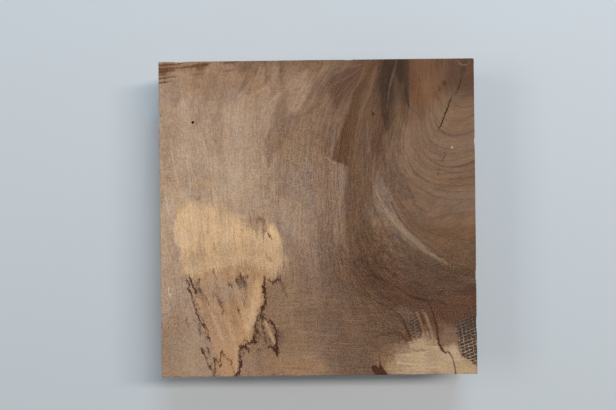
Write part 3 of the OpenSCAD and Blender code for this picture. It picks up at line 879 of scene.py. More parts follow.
        (46.6, 80, 0.4), (45.9, 74, 0.3), (45.2, 70, 0.2)]),
    ("nearBlack", 0.85, 1.6, [(57.6, 103, 2.2), (57.8, 95, 2.1), (58, 88, 1.8), (58.2, 82, 1.4),
        (58.4, 76, 1.0), (59.4, 70.6, 0.4)]),
    ("darkBrown", 0.5, 1.6, [(59.6, 71, 0.4), (62, 68.4, 0.8), (64.4, 66.6, 1.2), (65.8, 64.6, 1.0),
        (67.6, 61.4, 0.3)]),
    ("ringTan", 0.15, 3.0, [(52, 76, 0.6), (53.4, 68, 1.8), (55, 60, 2.8), (56, 52, 2.4),
        (56, 44, 0.8)]),
    ("nearBlack", 0.45, 4.0, [(55, 103, 4), (55, 95, 4.4), (55, 87, 4), (55.6, 79, 2.4), (56, 73, 0.6)]),
    # rings round the knot
    ("darkBrown", 0.45, 1.0, [(81.6, 103, 0.3), (81.4, 98, 0.4), (82.2, 94, 0.4), (84, 90, 0.4),
        (86.6, 87, 0.2)]),
    ("darkBrown", 0.45, 1.0, [(78.6, 103, 0.3), (78.2, 96, 0.4), (79, 90, 0.5), (81.4, 84, 0.4),
        (85, 79.6, 0.2)]),
    ("darkBrown", 0.4, 1.0, [(74.6, 96, 0.2), (74.8, 88, 0.4), (76.6, 80, 0.5), (80, 73.4, 0.4),
        (84.6, 68.6, 0.2)]),
    ("darkBrown", 0.45, 1.0, [(88, 80, 0.2), (92, 78, 0.4), (97, 77.6, 0.5), (102, 79, 0.3)]),
    ("darkBrown", 0.45, 1.0, [(85.6, 74, 0.2), (90, 71, 0.4), (95, 70, 0.5), (102, 71.4, 0.4)]),
    ("darkBrown", 0.45, 7.0, [(76, 78, 1), (82, 84, 5), (88, 90, 6), (95, 96, 7), (102, 98, 6)]),
    ("stainBrown", 0.55, 5.0, [(60, 103, 2), (60.6, 95, 3), (62, 86, 4), (65, 77, 4.6), (68, 68, 3),
        (70, 62, 1)]),
    ("earthBrown", 0.6, 0.9, [(63.6, 43, 0.2), (65.4, 38.4, 0.4), (68.4, 34.4, 0.4), (72, 31, 0.3),
        (75, 29, 0.2)]),
    ("earthBrown", 0.6, 0.9, [(60, 33, 0.2), (62.2, 29.2, 0.5), (65.4, 26.2, 0.6), (69, 23.6, 0.4),
        (73, 21.2, 0.4), (77, 19.8, 0.2)]),
    ("darkBrown", 0.7, 0.8, [(69, 41, 0.2), (72.6, 36.8, 0.3), (77, 33.8, 0.4), (82, 32, 0.5),
        (88, 31.6, 0.6), (94, 32.6, 0.8), (98, 34, 0.8), (103, 36, 0.6)]),
    ("darkBrown", 0.5, 0.9, [(79, 30, 0.2), (83, 28.5, 0.5), (88, 28, 0.6), (93, 28.2, 0.3)]),
    ("darkBrown", 0.45, 1.6, [(60.6, 9.6, 0.3), (64, 6.8, 0.9), (67.6, 4.4, 0.9), (71, 3, 0.4)]),
    ("earthBrown", 0.5, 1.0, [(51.6, 24, 0.2), (53.4, 18.6, 0.5), (56, 13.4, 0.6), (58.6, 9.6, 0.3)]),
    ("darkBrown", 0.4, 1.8, [(51.4, 12, 0.5), (53, 8.6, 1.4), (55.4, 5, 0.6)]),
    ("darkBrown", 0.4, 1.0, [(80, 54.6, 0.2), (84, 52.4, 0.4), (89, 51.4, 0.5), (95, 52.2, 0.4),
        (101, 54.6, 0.3)]),
    ("darkBrown", 0.4, 1.0, [(82, 63, 0.2), (85, 61.4, 0.4), (90, 60.8, 0.5), (95, 61.4, 0.5),
        (99, 62.8, 0.3)]),
    ("darkBrown", 0.4, 1.0, [(75, 48, 0.2), (79, 44.8, 0.4), (84, 43.2, 0.5), (90, 42.6, 0.3)]),
    ("darkBrown", 0.4, 1.0, [(72, 71, 0.2), (73.6, 68, 0.5), (76, 64.6, 0.5), (77.4, 62, 0.2)]),
    ("darkBrown", 0.35, 1.0, [(58, 41, 0.2), (60, 34, 0.4), (61.6, 29.8, 0.4), (64, 26, 0.2)]),
    # soft dark shades beside the rings and in front of them
    ("earthBrown", 0.4, 7.0, [(33, 36, 2), (40, 28, 6), (48, 22, 6), (58, 20, 3)]),
    ("soot", 0.3, 8.0, [(16, -28, 1), (26, -32, 6), (36, -34, 7.6), (44, -36, 6), (52, -40, 1)]),
    ("soot", 0.22, 9.0, [(48, -24, 1), (60, -27, 8), (74, -28, 10), (88, -28, 10), (103, -28, 11)]),
    # the grey band and the thin lines beside it
    ("greyTan", 0.22, 5.0, [(32, 7, 1), (35, 1, 4.4), (38, -4, 4), (40, -7, 1)]),
    ("greyTan", 0.3, 5.0, [(41, 20, 1), (43, 14, 3.4), (45, 7, 4.4), (48, 0, 4), (53, -8, 2)]),
    ("earthBrown", 0.6, 7.0, [(50, 12, 0.6), (56, 4, 4), (62, -5, 6), (70, -13, 7), (78, -18, 9),
        (86, -21, 11), (95, -23, 12), (103, -23, 12)]),
    ("greyBand", 0.85, 3.6, [(38, 33, -2), (40, 24, 1.8), (41.4, 15, 4.6), (43.8, 6, 5.9), (46.6, 0, 6.1),
        (50.6, -6, 5.6), (56, -11.6, 4.8), (62.6, -17, 4), (70.4, -22.8, 3), (79, -28, 1.6),
        (84.6, -31.6, 0)]),
    ("stainBrown", 0.3, 5.0, [(58, -4, 0.6), (66, -8, 3), (76, -10, 4), (88, -10, 4), (103, -10, 4)]),
    ("darkBrown", 0.7, 0.9, [(47, 10, 0.2), (49.6, 4.6, 0.4), (52.2, 0, 0.6), (55, -4, 0.7),
        (57.8, -7.6, 0.6), (60.4, -10.2, 0.5), (64, -13, 0.5), (67, -16.2, 0.5), (70, -19.6, 0.3)]),
    ("darkBrown", 0.6, 1.0, [(69.4, -20.6, 0.3), (73, -22.8, 0.7), (77.4, -25, 0.8), (81.4, -27.2, 0.7),
        (84, -30, 0.7), (86.4, -34, 0.4), (89.4, -36.4, 0.2)]),
    ("darkBrown", 0.7, 0.8, [(41, -3.6, 0.2), (42.2, -7, 0.4), (44.4, -11, 0.4), (47, -15, 0.5),
        (49.8, -18.8, 0.2)]),
    ("darkBrown", 0.7, 0.8, [(39.8, -11, 0.2), (42, -14, 0.6), (45, -17, 0.5), (48, -20, 0.5),
        (50.4, -22.4, 0.2)]),
    ("darkBrown", 0.5, 0.9, [(52, -9, 0.2), (56, -13, 0.4), (60.6, -16.6, 0.4), (65, -20.4, 0.2)]),
    # olive shades and dark marks in the heart
    ("stainBrown", 0.3, 6.0, [(74, -59, 1), (80, -58, 3), (88, -55, 5), (96, -53, 6), (103, -52, 7)]),
    ("darkBrown", 0.5, 3.0, [(27, -6, 0.8), (29, -12, 2.0), (32.4, -18, 2.4), (34.6, -24, 1.6),
        (36, -28, 0.4)]),
    ("lineBrown", 0.6, 1.6, [(34.6, -12.6, 0.3), (34.6, -14.2, 0.8), (34.8, -15.8, 0.3)]),
    ("lineBrown", 0.5, 1.8, [(35.4, -23.4, 0.3), (36.6, -24.6, 0.6), (38.6, -24.2, 0.2)]),
    ("darkBrown", 0.5, 2.2, [(21.6, -30, 0.5), (23.4, -34, 1.8), (26.4, -38, 1.8), (29.6, -39.6, 0.5)]),
    ("lineBrown", 0.5, 1.8, [(41.4, -22.6, 0.3), (44.4, -22.6, 0.8), (46.4, -24.4, 0.9),
        (47.4, -27, 0.3)]),
    ("lineBrown", 0.5, 1.8, [(41, -32.4, 0.4), (43.4, -33, 1.0), (46.4, -34.4, 0.9), (48, -36, 0.3)]),
    ("lineBrown", 0.55, 1.4, [(47.8, -37, 0.3), (49.2, -37.2, 0.6), (50.8, -37.4, 0.2)]),
    ("lineBrown", 0.5, 1.6, [(62.6, -42.8, 0.3), (64.4, -43.4, 0.9), (66.8, -44.4, 0.7),
        (68.4, -45, 0.2)]),
    ("lineBrown", 0.5, 1.6, [(75.6, -48.4, 0.3), (77.4, -48.8, 0.7), (79.8, -48.6, 0.6),
        (81, -48.4, 0.2)]),
    ("lineBrown", 0.35, 1.6, [(55, -41, 0.3), (56.6, -41.6, 0.7), (58, -42, 0.2)]),
    ("purpleBrown", 0.5, 2.2, [(84, -26, 0.5), (88, -27, 1.2), (93, -27.6, 1.2), (98, -27, 0.6)]),
    ("darkBrown", 0.6, 1.2, [(87, -35.4, 0.3), (91, -34.8, 0.6), (96, -34.4, 0.9), (103, -34, 1.2)]),
    ("rust", 0.4, 3.0, [(92, -49, 1.0), (95.6, -47.4, 2.6), (99, -46.6, 3.4), (103, -46.6, 3.6)]),
    ("darkBrown", 0.6, 2.0, [(96, -16, 0.4), (99, -16, 2.4), (103, -16, 4)]),
    ("darkBrown", 0.6, 2.0, [(94, -62, 0.4), (98, -60, 1.6), (103, -59, 3)]),
    ("plainTan", 0.3, 3.0, [(90, -40.6, 0.4), (95, -41, 1.4), (103, -41.4, 2)]),
    ("stainBrown", 0.4, 3.0, [(78, -41, 0.6), (84, -42.6, 1.8), (92, -42, 1.4), (97, -41, 0.4)]),
    ("darkBrown", 0.5, 3.0, [(80, -63.4, 0.6), (84, -65.4, 1.4), (89, -66, 1.6), (95, -64.4, 1.8),
        (103, -61, 2.4)]),
    # the dark line that branches, in the brown wood on the right
    ("lineBrown", 0.6, 0.8, [(31.6, -29, 0.2), (33, -32.4, 0.4), (35, -35.6, 0.4), (37.4, -38.6, 0.3)]),
    ("lineBrown", 0.95, 0.9, [(30.4, -38.2, 0.2), (33.6, -37.6, 0.4), (36.4, -38.8, 0.4),
        (41, -40.5, 0.4), (46, -43, 0.4), (51, -45.8, 0.5), (54.6, -48, 0.6), (58, -50.2, 0.6),
        (62, -52, 0.7), (66, -53.2, 0.8), (70, -53.8, 0.7), (74.4, -54, 0.8), (79, -55.2, 0.8),
        (83.4, -56.8, 0.3)]),
    ("oliveBrown", 0.5, 2.4, [(70.6, -52.8, 0.6), (75, -53, 1.6), (80, -54.2, 1.7), (84.6, -56, 0.6)]),
    ("lineBrown", 0.95, 0.9, [(70.3, -54.4, 0.2), (71.6, -57, 0.4), (72.8, -61, 0.5), (74.2, -65.5, 0.6),
        (75.5, -70, 0.7), (76.2, -75, 0.7), (76.8, -80, 0.7), (78, -83.5, 0.8), (79.5, -86.2, 0.9),
        (81, -88, 0.5)]),
    ("lineBrown", 0.85, 0.8, [(80.4, -87.6, 0.4), (82, -87.2, 0.4), (83.4, -87.6, 0.4)]),
    ("lineBrown", 0.85, 0.9, [(83, -87, 0.3), (84.8, -89.8, 0.5), (86, -92.6, 0.4), (86.8, -96.4, 0.4),
        (87.8, -103, 0.5)]),
    # the shorter dark line below it
    ("oliveBrown", 0.5, 3.0, [(36, -53.6, 0.6), (38.6, -54.6, 2.2), (42, -56, 2.2), (46, -58, 1.0)]),
    ("lineBrown", 0.85, 1.3, [(38, -54.4, 0.5), (40, -55.6, 1.2), (42.4, -57, 0.9), (45, -58.4, 0.6),
        (48, -60, 0.5), (51, -62.4, 0.5), (53.4, -65.2, 0.5), (55, -69, 0.6), (56.5, -72.5, 0.7),
        (57.9, -76, 0.8), (58.6, -79, 0.5)]),
    ("lineBrown", 0.6, 1.6, [(39, -75.8, 0.3), (43.6, -75.2, 0.5), (48, -74.4, 0.7), (51, -74.8, 0.7),
        (54, -77.3, 0.8), (57, -79.4, 0.8), (59.6, -79.6, 0.3)]),
    ("oliveBrown", 0.4, 4.0, [(38, -72.6, 1.0), (44, -73, 1.8), (50, -73, 0.8)]),
    ("ringTan", 0.5, 1.8, [(48, -63.4, 0.4), (51, -67, 1.0), (53, -71, 1.4), (55, -75.6, 0.5)]),
    ("darkBrown", 0.6, 1.4, [(35, -76, 0.3), (42, -75.8, 0.8), (47, -74.8, 1.2), (51, -75.2, 1.3),
        (54.4, -77.4, 1.0), (57.6, -79.4, 0.3)]),
    # streaks between the two
    ("warmBrown", 0.7, 1.2, [(62.4, -61, 0.2), (64.2, -65, 0.6), (65.8, -69, 0.6), (66.8, -74, 0.4)]),
    ("lineBrown", 0.55, 0.9, [(65, -62, 0.2), (66.8, -67, 0.4), (68, -71.6, 0.5), (68.8, -76, 0.3)]),
    ("plainTan", 0.75, 1.8, [(66.6, -60, 0.2), (69, -64.6, 0.9), (70.8, -70, 0.9), (72.4, -76, 1.2),
        (74.4, -82, 1.6)]),
    ("lineBrown", 0.6, 1.0, [(63.8, -68.6, 0.2), (63.8, -70.6, 0.7), (64.4, -73, 0.3)]),
    ("nearBlack", 0.6, 1.2, [(65.2, -72.4, 0.2), (65.6, -75, 0.7), (64.6, -78, 0.3)]),
    ("lineBrown", 0.5, 0.9, [(69.6, -70.4, 0.2), (70.8, -74.4, 0.5), (71.8, -79, 0.2)]),
    ("plainTan", 0.5, 1.0, [(67.6, -70, 0.2), (69, -75, 0.4), (70.4, -80, 0.3)]),
    ("darkBrown", 0.55, 2.0, [(74.6, -61.6, 0.3), (78, -64, 0.8), (83, -66, 1.2), (88, -65.4, 1.2),
        (92, -63, 0.4)]),
    # the rust spot at the front edge
    ("rust", 1.0, 0.5, [(33.6, -97, 0.2), (34.2, -97, 1.8), (35.4, -97.8, 2.4), (36.6, -98.6, 3.0),
        (37.6, -99.4, 2.0), (38.6, -98.4, 3.8), (39.6, -98.6, 3.2), (41, -99.6, 2.2), (42.4, -100.6, 1.2),
        (43.6, -101.6, 0.4)]),
    ("rust", 0.8, 0.5, [(38.6, -89.6, 0.1), (38.9, -92, 0.3), (39.1, -94, 0.5), (39.3, -97, 0.9)]),
    # marks on the cream wood
    ("redBrown", 0.55, 1.2, [(59.6, -85.4, 0.2), (62.4, -86.4, 0.7), (65.6, -85.8, 0.8),
        (68.6, -86.2, 0.2)]),
    ("redBrown", 0.4, 1.2, [(43, -84.4, 0.2), (47, -86.2, 0.5), (52, -87.2, 0.5), (57, -87, 0.5),
        (60, -85.6, 0.3)]),
]

# Stains, and painted shade along the drying crack, that lie on the top face only
topStainsAndCrackShade = [
    ("stainBrown", 0.35, 4.0, [(-103, 96, 5), (-96, 96.6, 4), (-88, 98, 2.6), (-78, 98, 2),
        (-70, 99.6, 1)]),
    ("stainBrown", 0.95, 0.9, [(-103, 99.2, 0.6), (-97, 99.4, 0.8), (-91, 99.8, 0.5),
        (-86, 100.3, 0.2)]),
    ("stainBrown", 0.95, 0.9, [(-103, 96.7, 0.7), (-98, 96.9, 1.0), (-93, 97.1, 0.7), (-88, 97.4, 0.5),
        (-82, 98, 0.6), (-77, 98.6, 1.0), (-72, 99.3, 1.0), (-68.6, 100, 0.3)]),
    ("stainBrown", 0.95, 0.9, [(-103, 94.7, 0.8), (-98, 95, 1.0), (-94, 95.5, 0.6), (-91, 96, 0.2)]),
    ("stainBrown", 0.85, 0.8, [(-103, 92.9, 0.4), (-99.6, 93.1, 0.5), (-97, 93.4, 0.2)]),
    ("stainBrown", 0.5, 1.4, [(-77.6, 97, 0.5), (-75, 97, 1.8), (-72.4, 97.4, 0.6)]),
    ("stainBrown", 0.9, 0.7, [(-103, 90.5, 0.5), (-98, 90.9, 0.6), (-93.6, 91.5, 0.4),
        (-89.4, 92.1, 0.1)]),
    ("stainBrown", 0.9, 0.7, [(-103, 87.8, 0.5), (-99, 88.1, 0.6), (-95.4, 88.6, 0.3),
        (-92.4, 89, 0.1)]),
    ("stainBrown", 0.6, 0.9, [(-79, 92.8, 0.1), (-76.6, 93.2, 0.5), (-73.6, 93.5, 0.4),
        (-71.6, 93.6, 0.1)]),
    ("stainBrown", 0.8, 0.9, [(-60, 99.7, 0.1), (-57, 100.2, 0.6), (-53, 100.8, 0.8),
        (-50, 101.4, 0.3)]),
    ("stainBrown", 0.6, 0.9, [(-59.4, 94.9, 0.1), (-56.4, 95.4, 0.4), (-52.8, 95.9, 0.1)]),
    ("rust", 0.8, 1.0, [(82.6, 87.4, 0.2), (82.4, 85.6, 1.1), (82.8, 83.8, 0.3)]),
    ("rust", 0.6, 1.0, [(78.8, 84.2, 0.2), (79, 82.6, 0.7), (79.4, 81, 0.2)]),
    ("darkBrown", 0.5, 1.4, [(78, 102, 0.9), (78, 97, 0.8), (78.6, 93, 0.3)]),
    ("darkBrown", 0.55, 1.2, [(80.8, 102, 0.8), (81, 97.6, 0.6), (81.6, 94.4, 0.1)]),
    ("rust", 0.6, 1.4, [(90, 101.6, 1.0), (91.6, 100, 0.8), (93, 98.4, 0.5)]),
    ("ringTan", 0.8, 0.8, [(90.4, 100.6, 0.3), (92, 98.8, 0.6), (94, 97.6, 0.5), (96.6, 97.4, 0.5),
        (98.4, 99.4, 0.4)]),
    ("soot", 0.8, 1.6, [(94.3, 91, 0.4), (94.5, 93, 1.6), (94.9, 95, 1.6), (95.4, 96.6, 0.6)]),
    ("soot", 0.6, 1.6, [(94, 99, 0.6), (95.6, 99.4, 1.2), (97.2, 100, 0.8)]),
    # painted shade: dark lines along the drying crack, standing for the shade inside its opening
    ("nearBlack", 0.6, 0.8, [(94.2, 91.6, 0.2), (93.4, 88, 0.3), (92.2, 84, 0.4), (89.8, 80.4, 0.3),
        (87.2, 77.3, 0.3)]),
    ("nearBlack", 0.8, 0.7, [(87, 76.8, 0.3), (85.2, 72.6, 0.5), (83.3, 67.8, 0.5), (81.2, 62.4, 0.4),
        (79, 56.6, 0.2)]),
    # short dark lines, a bright fleck and dark specks
    ("nearBlack", 0.6, 0.7, [(82.8, 41.6, 0.2), (81.8, 38.6, 0.4), (80.5, 35, 0.2)]),
    ("nearBlack", 0.6, 0.7, [(78.8, 31.4, 0.2), (78.1, 29, 0.3), (77.2, 26.6, 0.2)]),
    ("fleck", 0.9, 0.8, [(85.9, 44.5, 0.2), (86.5, 44.6, 0.6), (87.1, 44.5, 0.2)]),
    ("lineBrown", 1.0, 0.5, [(35.6, 67.8, 0.2), (36.5, 66.8, 0.7), (36, 65.2, 0.5)]),
    ("lineBrown", 0.5, 0.8, [(66, 88.8, 0.2), (66.4, 88, 0.5), (66.4, 87, 0.2)]),
    ("lineBrown", 0.7, 0.6, [(-92.6, -56.5, 0.1), (-92, -56.6, 0.5), (-91.4, -56.5, 0.1)]),
    ("lineBrown", 0.5, 0.7, [(8.2, -80, 0.1), (8.8, -80.1, 0.5), (9.4, -80, 0.1)]),
    ("lineBrown", 0.5, 0.7, [(11.2, -89, 0.1), (11.9, -89.1, 0.5), (12.6, -89, 0.1)]),
    ("lineBrown", 0.5, 0.7, [(26.2, -89.2, 0.1), (26.9, -89.3, 0.5), (27.6, -89.2, 0.1)]),
    ("lineBrown", 0.4, 0.8, [(-5, 43.6, 0.1), (-3.6, 43.2, 0.6), (-2.4, 43, 0.1)]),
]


# The finish

woodLook = {
    "bandStray": 6.0,               # how far the bands of colour stray across the grain
    "ringPitch": 2.4,               # grain numbers from one growth line to the next
    "ringStray": 9.0,               # how far those lines stray
    "ringLine": (0.55, 0.93),       # share of a step at which a line begins, and at which it is darkest
    "ringEnd": (1.0, 0.94),         # share at which it has gone, and from which it goes
    "ringGaps": (0.42, 0.66),       # noise below which it is missing, and above which it is whole
    "ringGapsKnot": 0.05,           # how much less it is missing round the knot
    "ringStrength": (0.36, 0.1),    # how dark lines are, and how much darker round the knot
    "strand": (0.30, 0.48, 0.7, 1.0),    # how the fibres break up the frayed marks
    "thread": (0.034, 0.016),       # how far from the middle of a dark thread it fades, and is whole
    "lightFrom": (0.3, 0.6, 0.1),   # share of red, green and blue in how light a colour is
    "inDark": (5.0, -0.65),         # streaks and specks grow as this times the lightness, to this power
    "wide": 0.3,                    # strength of wide streaks,
    "kerf": 0.9,                    # of the saw's lines,
    "mottle": 0.85,                 # of mottle
    "lump": 0.45,                   # and of lumps
    "frontCalm": 0.4,               # how much weaker streaks are where the saw's lines are,
    "ringedCalm": 0.3,              # how much weaker specks are round the knot,
    "smoothCalm": 0.32,             # and both in the calmer wood
    "darkest": -0.42,               # the most that streaks and specks take away from a colour
    "warmth": 0.55,                 # how far streaks run redder or greyer
    "cloud": 0.55,                  # and clouds
    "tint": (0.3, 0.6),             # share of that for streaks in the pale wood, and what the dark wood adds
    "cast": ((0.985, 0.35), (0.95, 0.04), (0.922, -0.6)),    # red, green and blue, and what the tint adds
    "roughness": (0.72, 0.88),
    "gloss": 0.12,
    "reliefOf": (0.5, 0.5, 0.6),    # share of fibres, grit and middle streaks in the relief
    "reliefStrength": 0.35,
    "reliefHeight": 0.0004,         # in metres
}

# Where something changes: the coordinate, the stretch that it changes over, and the values before and after
zones = {
    # marks that stay on the top face
    "top": [("inner", 2.4, 1.2)],
    # the wood round the knot, and where growth lines show most
    "ringed": [("bentX", 44.0, 60.0), ("bentY", -36.0, -16.0)],
    "heart": [("bentX", -20.0, 30.0, 0.25, 1.0), ("bentY", -70.0, -40.0, 0.35, 1.0)],
    # the darker wood on the right
    "deep": [("x", -20.0, 30.0)],
    # streaks are weaker on the right, at the front and at the back
    "even": [("bentX", 50.0, 66.0, 1.0, 0.45), ("bentY", -90.0, -40.0, 0.3, 1.0),
             ("bentY", 56.0, 78.0, 1.0, 0.65)],
    # the front without its left end, which shows lines of the saw
    "front": [("bentY", -24.0, -60.0), ("bentX", -46.0, -10.0)],
    # specks are weaker at the back and inside the wood
    "gritty": [("bentY", 20.0, 80.0, 1.85, 1.1), ("inner", 0.6, 3.0, 1.0, 0.6)],
    # the calmer wood at the back right
    "smooth": [("x", 6.0, 22.0), ("y", -25.0, 0.0)],
    # the net of saw marks, in the front right corner and in the patch beside it
    "corner": [("y", -68.0, -84.0, 0.3, 1.0)],
    "patch": [("x", 66.0, 64.0)],
}

# How far the places of marks are moved, along x, along y and with depth
bends = {
    "slight": (0.4, 1.4, 0.0),      # by streaks
    "clean": (1.1, 1.1, 1.1),       # by small mottle, as the next one is
    "rough": (4.0, 1.6, 0.0),
    "frayed": (1.5, 7.0, 0.0),      # by streaks, as the next one is
    "combed": (5.0, 16.0, 0.0),
    "drift": (6.0, 6.0, 6.0),       # by wide mottle, as the last one is
    "bent": (16.0, 16.0, 16.0),
}

# Noises drawn out along the grain: how fine across it, along it and with depth, then detail and roughness
streaks = {
    "fray": (0.8, 0.07, 0.5, 2.0, 0.6),
    "bend": (0.10, 0.014, 0.08, 2.0, 0.5),
    "growth": (0.06, 0.01, 0.05, 2.0, 0.5),
    "ring": (0.25, 0.03, 0.2, 1.0, 0.5),
    "strand": (0.9, 0.2, 1.0, 2.0, 0.6),
    "fibre": (1.5, 0.34, 1.2, 1.0, 0.5),
    "fine": (0.80, 0.10, 0.8, 2.0, 0.6),
    "middle": (0.32, 0.024, 0.3, 2.0, 0.55),
    "wide": (0.12, 0.012, 0.1, 1.0, 0.5),
    "warmth": (0.22, 0.016, 0.2, 2.0, 0.6),
}

# Strength of three of them in the pale wood, and what the dark wood adds to it
streakStrength = {"fibre": (0.8, 0.5), "fine": (0.6, 1.0), "middle": (0.45, 1.1)}

# Lines that the saw left across the front: how fine along them, across them and with depth, and their lean
kerfs = {"along": 0.05, "across": 0.8, "down": 0.8, "lean": 0.02}

# Noises that run no way at all: scale, detail and roughness
mottles = {
    "flake": (0.42, 2.0, 0.6),
    "slow": (0.045, 2.0, 0.5),
    "bumpy": (0.35, 2.0, 0.6),
    "broken": (0.5, 2.0, 0.6),
    "net": (0.26, 3.0, 0.6),
    "grit": (1.5, 1.0, 0.5),
    "mottle": (0.50, 3.0, 0.65),
    "lump": (0.16, 2.0, 0.6),
    "cloud": (0.07, 3.0, 0.6),
}


def streakNoise(at, name, out=0):
    fineAcross, fineAlong, fineDown, detail, roughness = streaks[name]
    place = vector(at.across * fineAcross, at.along * fineAlong, at.inner * fineDown)
    return roughNoise(place, 1.0, detail, roughness, out)


def mottleNoise(place, name, out=0):
    return roughNoise(place, *mottles[name], out)


def bandRamp(across, name):
    start, end = grainSpan
    stops = [((place - start) / (end - start), palette[shadeName]) for place, shadeName in figure[name]]
    return across.node("ShaderNodeValToRGB", {"stops": stops}, {0: ride(across, start, end)})


def curve(value, points):
    return value.node("ShaderNodeFloatCurve", {"points": points}, {"Value": value})


def zone(at, name):
    # a zone's changes, multiplied; each goes from 0 to 1, or between the values that it gives
    changes = [rise(getattr(at, axis), *span) for axis, *span in zones[name]]
    return math.prod(changes[1:], start=changes[0])


def layMarks(colour, place, marks, cover=None):
    # each mark is followed along whichever axis it is longer on: one curve gives its middle and another its
    # half width; now and then the colour so far takes part, by next to nothing, so that they come in turn
    every, nothing = 8, 1e-9
    x, y, _ = parts(place)
    for count, (name, strength, soft, places) in enumerate(marks):
        if count % every == 0:
            x, y = (colour.math("MULTIPLY_ADD", colour, nothing, side) for side in (x, y))
        tall = np.ptp([spot[1] for spot in places]) > np.ptp([spot[0] for spot in places])
        along, across = (y, x) if tall else (x, y)
        run = sorted((spotY, spotX, half) if tall else (spotX, spotY, half) for spotX, spotY, half in places)
        middle = curve(along, [(at, side) for at, side, _ in run])
        widths = [(at, half) for at, _, half in run]
        ends = (run[0][0] - soft, -soft), (run[-1][0] + soft, -soft)
        inside = curve(along, [ends[0], *widths, ends[1]]) - abs(across - middle)
        mask = ride(inside, -soft / 2, soft / 2, 0.0, strength)
        colour = blend(mask if cover is None else mask * cover, colour, palette[name])
    return colour


def woodPlaces(start):
    # where a point's fibres come out on the top face, how deep it lies, its grain number, and bent copies
    at = SimpleNamespace()
    at.face = start.node("ShaderNodeAttribute", {"attribute_name": "face"}, out=1)
    at.across = start.node("ShaderNodeAttribute", {"attribute_name": "across"}, out=2)
    at.x, at.y, at.inner = parts(at.face)
    at.along = (at.x - at.y) * 0.7       # roughly the distance along the fibres
    middleGrey = (0.5, 0.5, 0.5)
    fray = vectorMath("SUBTRACT", streakNoise(at, "fray", 1), middleGrey)
    flake = vectorMath("SUBTRACT", mottleNoise(at.face, "flake", 1), middleGrey)
    slow = vectorMath("SUBTRACT", mottleNoise(at.face, "slow", 1), middleGrey)

    def moved(place, noise, name):
        return vectorMath("ADD", place, vectorMath("MULTIPLY", noise, bends[name]))

    slight = moved(at.face, fray, "slight")
    at.clean = moved(slight, flake, "clean")
    at.rough = moved(slight, flake, "rough")
    at.frayed = moved(at.rough, fray, "frayed")
    at.combed = moved(moved(at.clean, fray, "combed"), slow, "drift")
    at.bent = moved(at.face, slow, "bent")
    at.bentX, at.bentY, _ = parts(at.bent)
    return at


def bandColours(at):
    # bands of colour that follow the grain
    shifted = at.across + (streakNoise(at, "bend") - 0.5) * woodLook["bandStray"]
    colour = bandRamp(shifted, "middle")
    for name, (start, end) in takeOver.items():
        colour = blend(rise(at.bentY, start, end), colour, bandRamp(shifted, name))
    return colour


def growthLines(at, colour):
    # the grain number, counted off in steps, with a thin dark line at the end of each
    at.lineStray = streakNoise(at, "growth") * woodLook["ringStray"]
    count = (at.across + at.lineStray) / woodLook["ringPitch"]
    step = count.math("FRACT", count)
    at.ringed = zone(at, "ringed")
    noise = streakNoise(at, "ring") + at.ringed * woodLook["ringGapsKnot"]
    thin = rise(step, *woodLook["ringLine"]) * rise(step, *woodLook["ringEnd"])
    thin = thin * rise(noise, *woodLook["ringGaps"]) * zone(at, "heart")
    dark, darker = woodLook["ringStrength"]
    return blend(thin * (at.ringed * darker + dark), colour, palette["darkBrown"])


sawNet = {
    "pitch": (2.1, 2.7),      # distance between slanting lines, and between upright ones
    "lean": (0.36, 0.16),
    "stray": 1.6,
    "faint": 0.55,            # strength of the upright lines
    # how far from the middle between two lines each kind begins, and is whole, as a share of its pitch
    "slant": (0.34, 0.47),
    "upright": (0.36, 0.46),
    "broken": (0.32, 0.55),   # noise below which lines are missing, and above which they are whole
    # left edge of the dark corner, and of the patch beside it: y and x
    "corner": [(-99.0, 101.0), (-92.0, 94.0), (-88.0, 91.0), (-80.0, 89.6), (-69.0, 88.6), (-66.0, 92.0),
               (-61.0, 101.6), (-59.0, 110.0)],
    "patch": [(-82.0, 66.0), (-78.0, 60.0), (-72.0, 57.6), (-64.0, 57.0), (-60.0, 66.0)],
    "patchStrength": 0.35,
}


def sawLines(at, colour):
    # a net of pale saw marks over the dark corner, on the top face only
    bumpy = mottleNoise(at.face, "bumpy") * sawNet["stray"]
    slant = (at.y - at.x * sawNet["lean"][0] + at.lineStray + bumpy) / sawNet["pitch"][0]
    upright = (at.x + at.y * sawNet["lean"][1] + at.lineStray - bumpy) / sawNet["pitch"][1]
    slantLine = rise(abs(slant.math("FRACT", slant) - 0.5), *sawNet["slant"])
    uprightLine = rise(abs(upright.math("FRACT", upright) - 0.5), *sawNet["upright"])
    broken = rise(mottleNoise(at.face, "broken"), *sawNet["broken"])
    net = slantLine.math("MAXIMUM", slantLine, uprightLine * sawNet["faint"]) * broken
    corner = rise(at.x - curve(at.y, sawNet["corner"]), -0.5, 1.0) * zone(at, "corner")
    patch = rise(at.x - curve(at.y, sawNet["patch"]), -1.0, 1.0) * zone(at, "patch")
    sawn = (corner + patch * sawNet["patchStrength"]) * zone(at, "top")
    return blend(net * sawn, colour, palette["paleTan"])


def spaltLines(at, colour):
    # thin threads, marks frayed along the fibres, clean marks, and stains and painted crack shade that stay
    # on the top face
    strand = rise(streakNoise(at, "strand"), *woodLook["strand"])
    thread = rise(abs(mottleNoise(at.face, "net") - 0.5), *woodLook["thread"])
    colour = layMarks(colour, at.frayed, netMarks, thread)
    colour = layMarks(colour, at.frayed, frayedMarks, strand)
    colour = layMarks(colour, at.clean, cleanMarks)
    return layMarks(colour, at.rough, topStainsAndCrackShade, zone(at, "top"))


